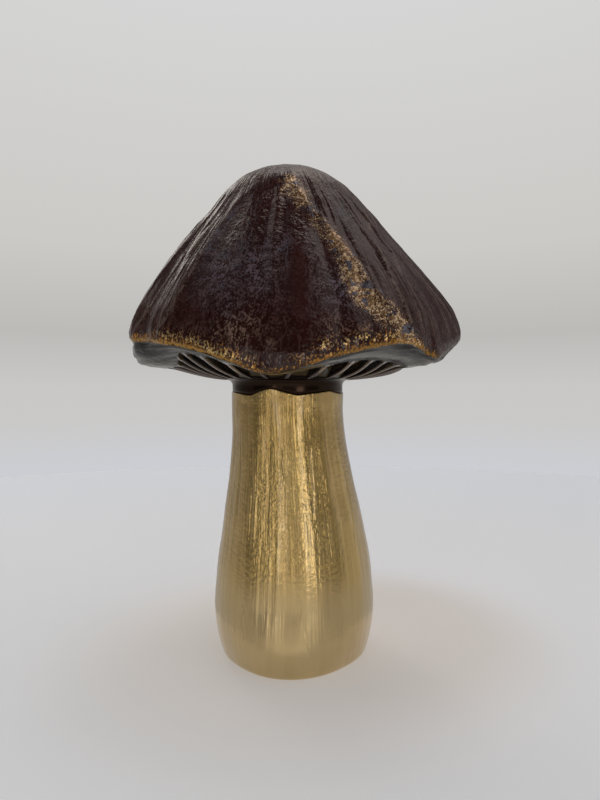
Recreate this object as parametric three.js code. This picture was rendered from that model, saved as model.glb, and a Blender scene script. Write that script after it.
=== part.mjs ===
// Mushroom figurine: a dark glazed cap with gills and a short neck, standing on a gold stem.
// Millimetres, +Z up, the front faces -Y. The origin is the middle of the flat foot, on the
// surface that it stands on. An azimuth is in degrees from the front and grows towards +X.
// A curve round the axis is a list of [azimuth, value] knots, and a curve along a height or a
// share of it is a list of [position, value] knots.

import * as THREE from 'three';

const GAP = 0.3;

// Cap: the upper surface
const CAP_TOP = 197.7;
const CAP_DROP = 73.4;
const CAP_RADIUS = 66.6;
const CAP_LEAN_TOP = -2.2;
const CAP_LEAN_RIM = 0.4;

// Share of the radius and share of the drop, from the top to the rim
const CAP_OUTLINE = [
  [0, 0], [0.114, 0.019], [0.257, 0.067], [0.378, 0.147], [0.491, 0.27], [0.613, 0.405],
  [0.745, 0.55], [0.862, 0.69], [0.952, 0.82], [0.992, 0.915], [1, 0.965], [0.985, 1],
];

// Sideways offset of the middle of the cap, along the share of the drop
const CAP_LEAN = [
  [0, CAP_LEAN_TOP], [0.12, -2.6], [0.3, -1.6], [0.5, -1.4], [0.7, -0.3], [0.85, 0.4],
  [1, CAP_LEAN_RIM],
];

// Plan of the rim as a share of the radius: soft corners with flatter faces between them
const CAP_PLAN = [
  [-75, 1], [-41, 0.967], [-8, 1], [20, 0.968], [46, 0.995], [60, 0.985], [75, 1], [105, 1.005],
  [132, 0.965], [160, 0.997], [188, 0.965], [215, 1], [247, 0.965],
];
const PLAN_FROM = 0.02;
const PLAN_FULL = 0.6;

// Height of the rim line, which droops in lobes
const RIM_HEIGHT = [
  [-90, 124.5], [-62, 123.4], [-47, 121.4], [-33, 118.8], [-20, 114.7], [-8, 110.7], [2, 112.4],
  [13, 116], [25, 119.1], [35, 120.7], [41, 118.5], [48, 116.3], [56, 118.3], [65, 121.4],
  [78, 124.6], [102, 122.5], [126, 125], [150, 122.5], [172, 119.5], [195, 122.5], [216, 124.6],
  [242, 121.5],
];
const DROOP_POWER = 2.4;

// Soft folds from the top to the rim: azimuth, half-width in degrees, height
const FOLDS = [
  [-64, 4, 0.9], [-56, 4, -0.7], [-43, 5, 0.4], [-32, 5, -0.3], [-21, 5, 0.5], [-10.5, 3, -0.6],
  [-6.5, 2.5, 0.4], [-3, 2.5, -0.5], [5, 4, 0.3], [14, 2.5, -0.8], [19, 3, 0.4], [28, 4, 0.3],
  [35, 2.5, -0.7], [39.5, 2.5, 0.6], [43.5, 2.5, -0.6], [49, 3, 0.7], [56, 4, -0.5], [66, 5, 0.3],
  [84, 5, -0.5], [98, 5, 0.6], [113, 4, -0.6], [127, 5, 0.5], [139, 4, -0.7], [158, 5, 0.7],
  [171, 4, -0.5], [183, 4, 0.3], [197, 4, -0.7], [212, 5, 0.7], [226, 4, -0.6], [243, 5, 0.4],
  [258, 4, -0.5], [272, 4, 0.5], [283, 4, -0.4],
];
const FOLD_FROM = 0.03;
const FOLD_FULL = 0.45;
const FOLD_END_ON_LIP = 0.45;

// Sunken faces between the ridges. Each edge is a list of [share of the drop, azimuth] knots,
// and top is the share of the drop where the face begins.
const FACES = [
  {
    left: [
      [0.185, -14], [0.2, -17], [0.225, -23], [0.26, -30], [0.305, -34], [0.345, -36],
      [0.4, -37], [0.5, -38.5], [0.6, -39], [0.7, -40.5], [0.8, -42.5], [0.9, -45], [1, -49],
    ],
    right: [
      [0.15, -2], [0.21, 2], [0.3, 7.5], [0.36, 11.5], [0.43, 16], [0.5, 19], [0.57, 22],
      [0.65, 23.5], [0.735, 25], [0.8, 27.5], [0.867, 31], [0.94, 35], [1, 40],
    ],
    top: 0.19,
  },
  {
    left: [[0.15, 118], [0.4, 108], [0.7, 104], [1, 103]],
    right: [[0.15, 150], [0.4, 156], [0.7, 160], [1, 162]],
    top: 0.24,
  },
  {
    left: [[0.15, 176], [0.4, 170], [0.7, 166], [1, 166]],
    right: [[0.15, 214], [0.4, 226], [0.7, 236], [1, 244]],
    top: 0.21,
  },
];
const FACE_DEPTH = 1.25;
const FACE_EDGE = 7;
const FACE_SKIRT = 1.5;
const FACE_TOP_EDGE = 0.03;
const FACE_FADE = 0.86;

// Cap: the rolled lip under the rim. Height, radius and fullness of its inner edge
const LIP_HEIGHT = [
  [-90, 114.6], [-75, 114.4], [-62, 114.5], [-52, 116.6], [-42, 118.8], [-34, 117.7], [-27, 116.4],
  [-20, 114.1], [-8, 110.1], [2, 111.3], [13, 114], [25, 115.8], [36, 116], [45, 115.5], [52, 113.9],
  [58, 114.1], [65, 115.2], [78, 114.9], [90, 114.6], [110, 115.5], [126, 117], [150, 116.5],
  [172, 114.5], [195, 116.5], [216, 118], [242, 115.5],
];
const LIP_RADIUS = [
  [-90, 51.5], [-75, 52], [-62, 50.5], [-52, 54], [-42, 59], [-34, 60.5], [-20, 61], [-8, 60],
  [2, 59], [13, 57], [25, 54], [36, 52], [45, 50], [52, 52], [60, 49], [75, 45], [92, 44.5],
  [110, 48], [126, 53], [150, 51], [172, 54], [195, 50], [216, 54], [242, 50],
];
const LIP_FULLNESS = [
  [-90, 2.9], [-75, 3.5], [-60, 2.8], [-50, 1.8], [-42, 1.4], [-20, 1.3], [0, 1.3], [25, 1.3],
  [42, 1.5], [50, 2.4], [56, 2.4], [63, 1.7], [70, 1.45], [90, 1.4], [120, 2.2], [180, 2.6],
  [240, 2.4],
];

// Cap: the gills between the lip and the neck. They run straighter back than a radius does,
// and the sweep is how far each one has turned by the time it meets the neck, in degrees.
// A hollow between two gills starts at one share of their length, ends in an arch from another
// share on, and is at full depth past its wall share.
const GILLS = 36;
const SAMPLES_PER_GILL = 4;
const GILL_DEPTH = 3.4;
const GILL_SHARPNESS = 2.5;
const HOLLOW_START = 0.3;
const HOLLOW_ARCH = 0.88;
const HOLLOW_WALL = 0.7;
const GILL_SWEEP = [
  [-90, -12], [-45, -15], [-20, -9], [0, 0], [20, 14], [45, 26], [75, 18], [110, 8], [180, 0],
  [240, -6],
];
const GILL_SWEEP_POWER = 1.4;
const GILL_WANDER = 1.6;
const GILL_WAVES = 5;
const GILL_RISE = [
  [-90, 3.2], [-45, 3.2], [-20, 1.6], [-5, 0.8], [10, 1.5], [35, 3.2], [90, 3.2], [180, 2.4],
];
const GILL_RISE_SPAN = 20;
const GILL_RISE_POWER = 1.6;
const LIP_STEP_POWER = 8;
const GILL_SHARES = [0.93, 0.8, 0.62, 0.42, 0.2, 0];

// Cap: the neck, and the spigot that stands in the stem
const NECK_RADIUS = 22.7;
const NECK_FILLET = 2.3;
const NECK_HEIGHT = 110;
const NECK_LEAN = -2.75;
const SPIGOT_RADIUS = 17.7;
const SPIGOT_BOTTOM = 95;

// Wavy edge of the gold, which stands slightly proud of the dark neck
const GOLD_EDGE = [
  [-80, 105.2], [-53, 104.4], [-37, 103.9], [-27, 105.2], [-15, 106.35], [-4, 105.3], [10, 103.9],
  [22, 104.4], [36, 105], [47, 105.4], [58, 104.8], [80, 104.6], [105, 105.6], [128, 104.2],
  [150, 104.9], [172, 106], [196, 104.3], [222, 105.3], [250, 104.2],
];
const EDGE_ROUND = 0.35;

// Stem: radius and sideways offset along the height
const STEM_RADIUS = [
  [0, 28.3], [0.6, 29.2], [1.6, 29.8], [4, 30.5], [8, 31.5], [14, 32.5], [21, 32.85], [29, 32.3],
  [38, 31.4], [48, 29.75], [58, 28.1], [68, 26.2], [78, 24.7], [88, 23.5], [98, 23], [104.5, 23],
];
const STEM_LEAN = [
  [0, 0], [25, -0.05], [48, -0.3], [67, -1.2], [87, -2.25], [97, -2.75], [104.5, NECK_LEAN],
];

// Plan of the foot as a share of the radius, and the height where the stem is round again
const FOOT_PLAN = [
  [-90, 1], [-60, 1.01], [-40, 1.045], [-20, 1.105], [-6, 1.12], [8, 1.105], [25, 1.055], [42, 1.01],
  [70, 1], [120, 1.01], [180, 1.04], [240, 1.01],
];
const FOOT_PLAN_END = 26;
const STEM_AZIMUTHS = 72;
const STEM_ROWS = [0, 0.012, 0.04, 0.08, 0.14, 0.2, 0.27, 0.35, 0.44, 0.53, 0.62, 0.71, 0.8, 0.89, 1];

// Shallow flutes of the stem: azimuth, half-width in degrees, height
const FLUTES = [
  [-62, 9, -0.3], [-34, 8, 0.3], [-18, 7, -0.35], [8, 8, 0.3], [27, 7, -0.35], [52, 10, 0.3],
  [84, 10, -0.3], [118, 12, 0.3], [150, 9, -0.35], [182, 12, 0.3], [214, 9, -0.35], [246, 12, 0.3],
  [275, 9, -0.3],
];
const FLUTE_FROM = 6;
const FLUTE_FULL = 30;
const FLUTE_FADE = 88;
const FLUTE_END = 103;

const TOP_ROWS = 15;
const LIP_ROWS = 5;
const FILLET_ROWS = 2;

function smooth(from, to, value) {
  return THREE.MathUtils.smoothstep(Math.sign(to - from) * value, Math.sign(to - from) * from,
    Math.sign(to - from) * to);
}

function hermite([a, valueA], slopeA, [b, valueB], slopeB, position) {
  const span = b - a;
  const t = (position - a) / span;
  const startWeight = 2 * t ** 3 - 3 * t ** 2 + 1;
  const startSlopeWeight = (t ** 3 - 2 * t ** 2 + t) * span;
  const endSlopeWeight = (t ** 3 - t ** 2) * span;
  return startWeight * valueA + startSlopeWeight * slopeA
    + (1 - startWeight) * valueB + endSlopeWeight * slopeB;
}

// Smooth closed curve round the axis, through its knots
function around(knots) {
  const knot = (index) => {
    const turn = Math.floor(index / knots.length);
    const [azimuth, value] = knots[index - turn * knots.length];
    return [azimuth + 360 * turn, value];
  };
  const slope = (index) => {
    const [before, valueBefore] = knot(index - 1);
    const [after, valueAfter] = knot(index + 1);
    return (valueAfter - valueBefore) / (after - before);
  };
  return (azimuth) => {
    const turned = knots[0][0] + THREE.MathUtils.euclideanModulo(azimuth - knots[0][0], 360);
    let index = 0;
    while (knot(index + 1)[0] <= turned) index += 1;
    return hermite(knot(index), slope(index), knot(index + 1), slope(index + 1), turned);
  };
}

// Smooth open curve through its knots
function along(knots) {
  const last = knots.length - 1;
  const slope = (index) => {
    const [before, valueBefore] = knots[Math.max(index - 1, 0)];
    const [after, valueAfter] = knots[Math.min(index + 1, last)];
    return (valueAfter - valueBefore) / (after - before);
  };
  return (position) => {
    const held = THREE.MathUtils.clamp(position, knots[0][0], knots[last][0]);
    let index = 0;
    while (index < last - 1 && knots[index + 1][0] <= held) index += 1;
    return hermite(knots[index], slope(index), knots[index + 1], slope(index + 1), held);
  };
}

// Sum of soft ridges and grooves round the axis
function folds(list, azimuth) {
  let height = 0;
  for (const [middle, width, rise] of list) {
    const away = THREE.MathUtils.euclideanModulo(azimuth - middle + 180, 360) - 180;
    height += rise * Math.exp(-((away / width) ** 2));
  }
  return height;
}

const capOutline = new THREE.SplineCurve(CAP_OUTLINE.map(([x, y]) => new THREE.Vector2(x, y)));
const capLean = along(CAP_LEAN);
const capPlan = around(CAP_PLAN);
const rimHeight = around(RIM_HEIGHT);
const lipHeight = around(LIP_HEIGHT);
const lipRadius = around(LIP_RADIUS);
const lipFullness = around(LIP_FULLNESS);
const gillSweep = around(GILL_SWEEP);
const gillRise = around(GILL_RISE);
const goldEdge = around(GOLD_EDGE);
const stemRadius = along(STEM_RADIUS);
const stemLean = along(STEM_LEAN);
const footPlan = around(FOOT_PLAN);
const faces = FACES.map(({ left, right, top }) => ({ left: along(left), right: along(right), top }));

function place(azimuth, radius, height, lean) {
  const angle = THREE.MathUtils.degToRad(azimuth);
  return new THREE.Vector3(lean + radius * Math.sin(angle), -radius * Math.cos(angle), height);
}

// Distance round the cap from an edge of a face to an azimuth, positive past it
function pastEdge(azimuth, edge, radius) {
  const away = THREE.MathUtils.euclideanModulo(azimuth - edge + 180, 360) - 180;
  return THREE.MathUtils.degToRad(away) * radius;
}

// How far inside the sunken faces a point of the upper surface is, from 0 to 1
function insideFaces(azimuth, dropShare, radius) {
  let inside = 0;
  for (const { left, right, top } of faces) {
    const fromLeft = pastEdge(azimuth, left(dropShare), radius);
    const toRight = -pastEdge(azimuth, right(dropShare), radius);
    const reach = smooth(top - FACE_TOP_EDGE, top + FACE_TOP_EDGE, dropShare)
      * smooth(1, FACE_FADE, dropShare);
    inside += smooth(-FACE_SKIRT, FACE_EDGE, fromLeft) * smooth(-FACE_SKIRT, FACE_EDGE, toRight) * reach;
  }
  return inside;
}

// Point of the upper surface, with a share of 0 at the top and 1 at the rim
function topPoint(azimuth, share) {
  const { x: radiusShare, y: dropShare } = capOutline.getPoint(share);
  const plan = 1 + (capPlan(azimuth) - 1) * smooth(PLAN_FROM, PLAN_FULL, dropShare);
  const fold = folds(FOLDS, azimuth) * smooth(FOLD_FROM, FOLD_FULL, dropShare);
  const droop = CAP_TOP - CAP_DROP - rimHeight(azimuth);
  const height = CAP_TOP - CAP_DROP * dropShare - droop * Math.max(dropShare, 0) ** DROOP_POWER;
  const radius = CAP_RADIUS * radiusShare * plan + fold;
  const sunken = FACE_DEPTH * insideFaces(azimuth, dropShare, radius);
  return place(azimuth, radius - sunken, height, capLean(dropShare));
}

// Point of the rolled lip, with a share of 0 at the rim and 1 at its inner edge
function lipPoint(azimuth, share) {
  const fold = folds(FOLDS, azimuth) * smooth(FOLD_END_ON_LIP, 0, share);
  const rimRadius = CAP_RADIUS * CAP_OUTLINE.at(-1)[0] * capPlan(azimuth) + fold;
  const inner = lipRadius(azimuth);
  const power = 2 / lipFullness(azimuth);
  const across = Math.max(Math.cos(share * Math.PI / 2), 0) ** power;
  const down = Math.sin(share * Math.PI / 2) ** power;
  const height = rimHeight(azimuth) + (lipHeight(azimuth) - rimHeight(azimuth)) * down;
  return place(azimuth, inner + (rimRadius - inner) * across, height, CAP_LEAN_RIM);
}

// Azimuth of a gill at a share of its length, 1 at the lip and 0 at the neck
function swept(azimuth, share) {
  return azimuth + gillSweep(azimuth) * (1 - share) ** GILL_SWEEP_POWER;
}

// Point of the gills, with a share of 1 at the lip and 0 at the neck, and depth from 0 to 1
function gillPoint(azimuth, share, depth) {
  const start = NECK_RADIUS + NECK_FILLET;
  const inner = lipRadius(azimuth);
  const turned = swept(azimuth, share);
  const radius = start + (inner - start) * share;
  const crest = (reach) => NECK_HEIGHT
    + gillRise(turned) * ((reach - start) / GILL_RISE_SPAN) ** GILL_RISE_POWER;
  const step = (lipHeight(azimuth) - crest(inner)) * share ** LIP_STEP_POWER;
  const hollow = smooth(0, HOLLOW_WALL, depth - smooth(HOLLOW_ARCH, 1, share))
    * smooth(0, HOLLOW_START, share);
  const lean = NECK_LEAN + (CAP_LEAN_RIM - NECK_LEAN) * share;
  return place(turned, radius, crest(radius) + step + GILL_DEPTH * hollow, lean);
}

// Point of the hollow fillet between the gills and the neck
function filletPoint(azimuth, share) {
  const angle = share * Math.PI / 2;
  const radius = NECK_RADIUS + NECK_FILLET * (1 - Math.sin(angle));
  return place(azimuth, radius, NECK_HEIGHT - NECK_FILLET * (1 - Math.cos(angle)), NECK_LEAN);
}

function stemPoint(azimuth, share) {
  const height = share * (goldEdge(azimuth) - EDGE_ROUND);
  const fade = smooth(FLUTE_FROM, FLUTE_FULL, height) * smooth(FLUTE_END, FLUTE_FADE, height);
  const plan = 1 + (footPlan(azimuth) - 1) * smooth(FOOT_PLAN_END, 0, height);
  const radius = stemRadius(height) * plan + folds(FLUTES, azimuth) * fade;
  return place(azimuth, radius, height, stemLean(height));
}

// Closed body from rings of points, from a first pole to a last one
function loft(firstPole, rings, lastPole) {
  const count = rings[0].length;
  const points = [firstPole, ...rings.flat(), lastPole];
  const last = points.length - 1;
  const at = (ring, index) => 1 + ring * count + (index % count);
  const faces = [];
  for (let index = 0; index < count; index += 1) {
    faces.push(0, at(0, index), at(0, index + 1));
    for (let ring = 0; ring < rings.length - 1; ring += 1) {
      faces.push(at(ring, index), at(ring + 1, index), at(ring + 1, index + 1));
      faces.push(at(ring, index), at(ring + 1, index + 1), at(ring, index + 1));
    }
    faces.push(last, at(rings.length - 1, index + 1), at(rings.length - 1, index));
  }
  const geometry = new THREE.BufferGeometry().setFromPoints(points);
  geometry.setIndex(faces);
  geometry.computeVertexNormals();
  return geometry;
}

function shares(rows) {
  return Array.from({ length: rows }, (unused, row) => (row + 1) / rows);
}

// The columns of the cap follow its gills, which wander a little from an even spacing
function capColumns() {
  const count = GILLS * SAMPLES_PER_GILL;
  return Array.from({ length: count }, (unused, index) => {
    const turn = index / count;
    const azimuth = 360 * turn + GILL_WANDER * Math.sin(2 * Math.PI * GILL_WAVES * turn);
    const ridge = 0.5 + 0.5 * Math.cos(2 * Math.PI * index / SAMPLES_PER_GILL);
    return { azimuth, depth: 1 - ridge ** GILL_SHARPNESS };
  });
}

function capGeometry() {
  const columns = capColumns();
  const ring = (point) => columns.map(({ azimuth, depth }) => point(azimuth, depth));
  const neckRing = (point) => columns.map(({ azimuth }) => point(swept(azimuth, 0)));
  const rings = [
    ...shares(TOP_ROWS).map((share) => ring((azimuth) => topPoint(azimuth, share))),
    ...shares(LIP_ROWS).map((share) => ring((azimuth) => lipPoint(azimuth, share))),
    ...GILL_SHARES.map((share) => ring((azimuth, depth) => gillPoint(azimuth, share, depth))),
    ...shares(FILLET_ROWS).map((share) => neckRing((azimuth) => filletPoint(azimuth, share))),
    neckRing((azimuth) => place(azimuth, NECK_RADIUS, goldEdge(azimuth) + GAP, NECK_LEAN)),
    neckRing((azimuth) => place(azimuth, SPIGOT_RADIUS, goldEdge(azimuth) + GAP, NECK_LEAN)),
    neckRing((azimuth) => place(azimuth, SPIGOT_RADIUS, SPIGOT_BOTTOM, NECK_LEAN)),
  ];
  return loft(place(0, 0, CAP_TOP, CAP_LEAN_TOP), rings, place(0, 0, SPIGOT_BOTTOM, NECK_LEAN));
}

function stemGeometry() {
  const azimuths = Array.from({ length: STEM_AZIMUTHS }, (unused, index) => 360 * index / STEM_AZIMUTHS);
  const ring = (point) => azimuths.map(point);
  const floor = SPIGOT_BOTTOM - GAP;
  const bore = SPIGOT_RADIUS + GAP;
  const rings = [
    ring((azimuth) => place(azimuth, bore, floor, NECK_LEAN)),
    ring((azimuth) => place(azimuth, bore, goldEdge(azimuth), NECK_LEAN)),
    ring((azimuth) => place(azimuth, NECK_RADIUS, goldEdge(azimuth), NECK_LEAN)),
    ...STEM_ROWS.toReversed().map((share) => ring((azimuth) => stemPoint(azimuth, share))),
  ];
  return loft(place(0, 0, floor, NECK_LEAN), rings, place(0, 0, 0, 0));
}

function piece(name, geometry, finish) {
  const mesh = new THREE.Mesh(geometry, new THREE.MeshStandardMaterial(finish));
  mesh.name = name;
  return mesh;
}

const figurine = new THREE.Group();
figurine.add(piece('cap', capGeometry(), { color: 0x2b1512, roughness: 0.2, metalness: 0 }));
figurine.add(piece('stem', stemGeometry(), { color: 0xb3975a, roughness: 0.38, metalness: 1 }));

export default figurine;
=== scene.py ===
"""Looks of the mushroom figurine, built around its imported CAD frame.

The shapes are worked out in millimetres and turned to metres when a mesh is made. The front
faces -Y, and an azimuth is in degrees from the front, growing towards +X.
"""
import math
from types import SimpleNamespace

import bpy
import numpy as np
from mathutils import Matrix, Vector


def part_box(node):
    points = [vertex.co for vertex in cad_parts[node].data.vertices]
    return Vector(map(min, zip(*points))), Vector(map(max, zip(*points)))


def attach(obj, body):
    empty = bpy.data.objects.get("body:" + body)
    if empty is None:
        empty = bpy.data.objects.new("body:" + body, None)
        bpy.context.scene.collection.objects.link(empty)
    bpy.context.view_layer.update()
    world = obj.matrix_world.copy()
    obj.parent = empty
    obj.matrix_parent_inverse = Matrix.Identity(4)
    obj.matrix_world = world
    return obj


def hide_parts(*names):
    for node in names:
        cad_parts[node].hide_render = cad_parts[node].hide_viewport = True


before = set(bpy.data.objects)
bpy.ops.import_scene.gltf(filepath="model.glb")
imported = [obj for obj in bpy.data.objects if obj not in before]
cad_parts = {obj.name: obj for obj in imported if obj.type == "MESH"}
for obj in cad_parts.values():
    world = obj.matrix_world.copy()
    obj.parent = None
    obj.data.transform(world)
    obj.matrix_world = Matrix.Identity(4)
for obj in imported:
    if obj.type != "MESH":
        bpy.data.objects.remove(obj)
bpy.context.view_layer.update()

MM = 0.001

# Camera, from how the foot, the rim and the seam curve in the photograph
CAMERA_PLACE = Vector((0.0024, -0.2494, 0.1046))
CAMERA_PITCH = 0.67
CAMERA_SENSOR = 36
CAMERA_LENS = 27.05
CAMERA_CLIP_START = 0.01

# Cap: the upper surface
CAP_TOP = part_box("cap")[1].z / MM
CAP_DROP = 73.4
CAP_RADIUS = 66.6
CAP_LEAN_TOP = -2.2
CAP_LEAN_RIM = 0.4
CAP_OUTLINE = [
    (0, 0), (0.114, 0.019), (0.257, 0.067), (0.378, 0.147), (0.491, 0.27), (0.613, 0.405),
    (0.745, 0.55), (0.862, 0.69), (0.952, 0.82), (0.992, 0.915), (1, 0.965), (0.985, 1),
]
CAP_LEAN = [
    (0, CAP_LEAN_TOP), (0.12, -2.6), (0.3, -1.6), (0.5, -1.4), (0.7, -0.3), (0.85, 0.4),
    (1, CAP_LEAN_RIM),
]
CAP_PLAN = [
    (-75, 1), (-41, 0.967), (-8, 1), (20, 0.968), (46, 0.995), (60, 0.985), (75, 1), (105, 1.005),
    (132, 0.965), (160, 0.997), (188, 0.965), (215, 1), (247, 0.965),
]
PLAN_FROM = 0.02
PLAN_FULL = 0.6
RIM_HEIGHT = [
    (-90, 124.5), (-62, 123.4), (-47, 121.4), (-33, 118.8), (-20, 114.7), (-8, 110.7), (2, 112.4),
    (13, 116), (25, 119.1), (35, 120.7), (41, 118.5), (48, 116.3), (56, 118.3), (65, 121.4),
    (78, 124.6), (102, 122.5), (126, 125), (150, 122.5), (172, 119.5), (195, 122.5), (216, 124.6),
    (242, 121.5),
]
DROOP_POWER = 2.4

# Soft folds from the top to the rim: azimuth, half-width in degrees, height
FOLDS = [
    (-64, 4, 0.9), (-56, 4, -0.7), (-43, 5, 0.4), (-32, 5, -0.3), (-21, 5, 0.5), (-10.5, 3, -0.6),
    (-6.5, 2.5, 0.4), (-3, 2.5, -0.5), (5, 4, 0.3), (14, 2.5, -0.8), (19, 3, 0.4), (28, 4, 0.3),
    (35, 2.5, -0.7), (39.5, 2.5, 0.6), (43.5, 2.5, -0.6), (49, 3, 0.7), (56, 4, -0.5), (66, 5, 0.3),
    (84, 5, -0.5), (98, 5, 0.6), (113, 4, -0.6), (127, 5, 0.5), (139, 4, -0.7), (158, 5, 0.7),
    (171, 4, -0.5), (183, 4, 0.3), (197, 4, -0.7), (212, 5, 0.7), (226, 4, -0.6), (243, 5, 0.4),
    (258, 4, -0.5), (272, 4, 0.5), (283, 4, -0.4),
]
FOLD_FROM = 0.03
FOLD_FULL = 0.45
FOLD_END_ON_LIP = 0.45

# Sunken faces between the ridges: left edge, right edge (drop share, azimuth), top drop share
FRONT_FACE = (
    [
        (0.185, -14), (0.2, -17), (0.225, -23), (0.26, -30), (0.305, -34), (0.345, -36),
        (0.4, -37), (0.5, -38.5), (0.6, -39), (0.7, -40.5), (0.8, -42.5), (0.9, -45), (1, -49),
    ],
    [
        (0.15, -2), (0.21, 2), (0.3, 7.5), (0.36, 11.5), (0.43, 16), (0.5, 19), (0.57, 22),
        (0.65, 23.5), (0.735, 25), (0.8, 27.5), (0.867, 31), (0.94, 35), (1, 40),
    ],
    0.19,
)
RIGHT_BACK_FACE = (
    [(0.15, 118), (0.4, 108), (0.7, 104), (1, 103)],
    [(0.15, 150), (0.4, 156), (0.7, 160), (1, 162)],
    0.24,
)
LEFT_BACK_FACE = (
    [(0.15, 176), (0.4, 170), (0.7, 166), (1, 166)],
    [(0.15, 214), (0.4, 226), (0.7, 236), (1, 244)],
    0.21,
)
FACES = [FRONT_FACE, RIGHT_BACK_FACE, LEFT_BACK_FACE]
FACE_DEPTH = 1.25
FACE_EDGE = 7
FACE_SKIRT = 1.5
FACE_BEAD = 0.45
FACE_BEAD_WIDTH = 2.2
LEFT_BEAD_SHARE = 0.6
FACE_TOP_EDGE = 0.03
FACE_TOP_BEAD = 0.7
FACE_TOP_BEAD_WIDTH = 0.028
FACE_TOP_BEAD_ENDS = (-4, 5)
FACE_FADE = 0.86

# Narrow ridges on the flanks: line (drop share, azimuth), half-width and height
FLANK_RIDGES = [
    ([(0.2, -44), (0.31, -48), (0.4, -48.5), (0.54, -51.5), (0.65, -52), (0.74, -54), (0.83, -56.5),
      (0.9, -59), (1, -63)], 1, 0.5),
    ([(0.2, -30), (0.3, -34), (0.4, -36.5), (0.5, -38), (0.6, -38.5), (0.75, -40), (1, -47)], 0.8, 0.25),
    ([(0.2, -58), (0.4, -59), (0.6, -61), (0.8, -63), (1, -68)], 0.7, 0.35),
    ([(0.3, -42), (0.5, -44.5), (0.7, -46), (0.85, -49), (1, -55)], 0.6, 0.22),
    ([(0.15, 62), (0.25, 56.7), (0.43, 44.5), (0.64, 36.8), (0.81, 35.5), (0.93, 37.4), (1, 41)],
     0.9, 0.38),
    ([(0.2, 66), (0.33, 61), (0.61, 45.2), (0.87, 41.1), (1, 45)], 0.8, 0.32),
    ([(0.3, 66), (0.6, 61.6), (0.87, 65), (1, 67)], 0.7, 0.28),
    ([(0.25, 52), (0.45, 51), (0.7, 52), (0.87, 54), (1, 57)], 0.6, 0.22),
]
FLANK_RIDGE_FADE = 0.05
FLANK_LINE_SHARPNESS = 1.6

# Cap: the rolled lip under the rim. Height, radius and fullness of its inner edge
LIP_HEIGHT = [
    (-90, 114.6), (-75, 114.4), (-62, 114.5), (-52, 116.6), (-42, 118.8), (-34, 117.7), (-27, 116.4),
    (-20, 114.1), (-8, 110.1), (2, 111.3), (13, 114), (25, 115.8), (36, 116), (45, 115.5), (52, 113.9),
    (58, 114.1), (65, 115.2), (78, 114.9), (90, 114.6), (110, 115.5), (126, 117), (150, 116.5),
    (172, 114.5), (195, 116.5), (216, 118), (242, 115.5),
]
LIP_RADIUS = [
    (-90, 51.5), (-75, 52), (-62, 50.5), (-52, 54), (-42, 59), (-34, 60.5), (-20, 61), (-8, 60),
    (2, 59), (13, 57), (25, 54), (36, 52), (45, 50), (52, 52), (60, 49), (75, 45), (92, 44.5),
    (110, 48), (126, 53), (150, 51), (172, 54), (195, 50), (216, 54), (242, 50),
]
LIP_FULLNESS = [
    (-90, 2.9), (-75, 3.5), (-60, 2.8), (-50, 1.8), (-42, 1.4), (-20, 1.3), (0, 1.3), (25, 1.3),
    (42, 1.5), (50, 2.4), (56, 2.4), (63, 1.7), (70, 1.45), (90, 1.4), (120, 2.2), (180, 2.6),
    (240, 2.4),
]

# Creases along the lip: azimuth and distance under the rim at each end, half-width, depth
LIP_CREASES = [
    (-108, 2, -55, 10.5, 1, 0.6), (-92, 2.2, -60, 5.5, 0.6, 0.35), (-70, 2, -48, 4, 0.4, 0.25),
    (44, 5, 78, 9, 0.9, 0.5), (52, 3, 90, 4.5, 0.6, 0.35), (100, 4, 140, 9, 1, 0.7),
    (128, 2.5, 165, 5, 0.7, 0.4), (158, 8, 205, 4, 0.9, 0.6), (200, 9, 238, 4, 1, 0.7),
    (215, 3, 250, 5, 0.6, 0.35),
]

# Cap: the gills between the lip and the neck. They run straighter back than a radius does
GILLS = 36
GILL_DEPTH = 3.4
GILL_SHARPNESS = 2.5
HOLLOW_START = 0.3
HOLLOW_ARCH = 0.88
HOLLOW_WALL = 0.7
GILL_SWEEP = [
    (-90, -12), (-45, -15), (-20, -9), (0, 0), (20, 14), (45, 26), (75, 18), (110, 8), (180, 0), (240, -6),
]
GILL_SWEEP_POWER = 1.4
GILL_WANDER = 1.6
GILL_WAVES = 5
GILL_RISE = [
    (-90, 3.2), (-45, 3.2), (-20, 1.6), (-5, 0.8), (10, 1.5), (35, 3.2), (90, 3.2), (180, 2.4),
]
GILL_RISE_SPAN = 20
GILL_RISE_POWER = 1.6
LIP_STEP_POWER = 8

# Cap: the neck, and the spigot that stands in the stem
NECK_RADIUS = 22.7
NECK_FILLET = 2.3
NECK_HEIGHT = 110
NECK_LEAN = -2.75
SPIGOT_RADIUS = 17.7
SPIGOT_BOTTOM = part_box("cap")[0].z / MM
SPIGOT_GAP = 0.3
SEAM_GAP = 0.04

# Wavy edge of the gold, slightly proud of the dark neck
GOLD_EDGE = [
    (-80, 105.2), (-53, 104.4), (-37, 103.9), (-27, 105.2), (-15, 106.35), (-4, 105.3), (10, 103.9),
    (22, 104.4), (36, 105), (47, 105.4), (58, 104.8), (80, 104.6), (105, 105.6), (128, 104.2),
    (150, 104.9), (172, 106), (196, 104.3), (222, 105.3), (250, 104.2),
]
EDGE_ROUND = 0.35
EDGE_ROUND_ANGLES = (0, 30, 60)

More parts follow.
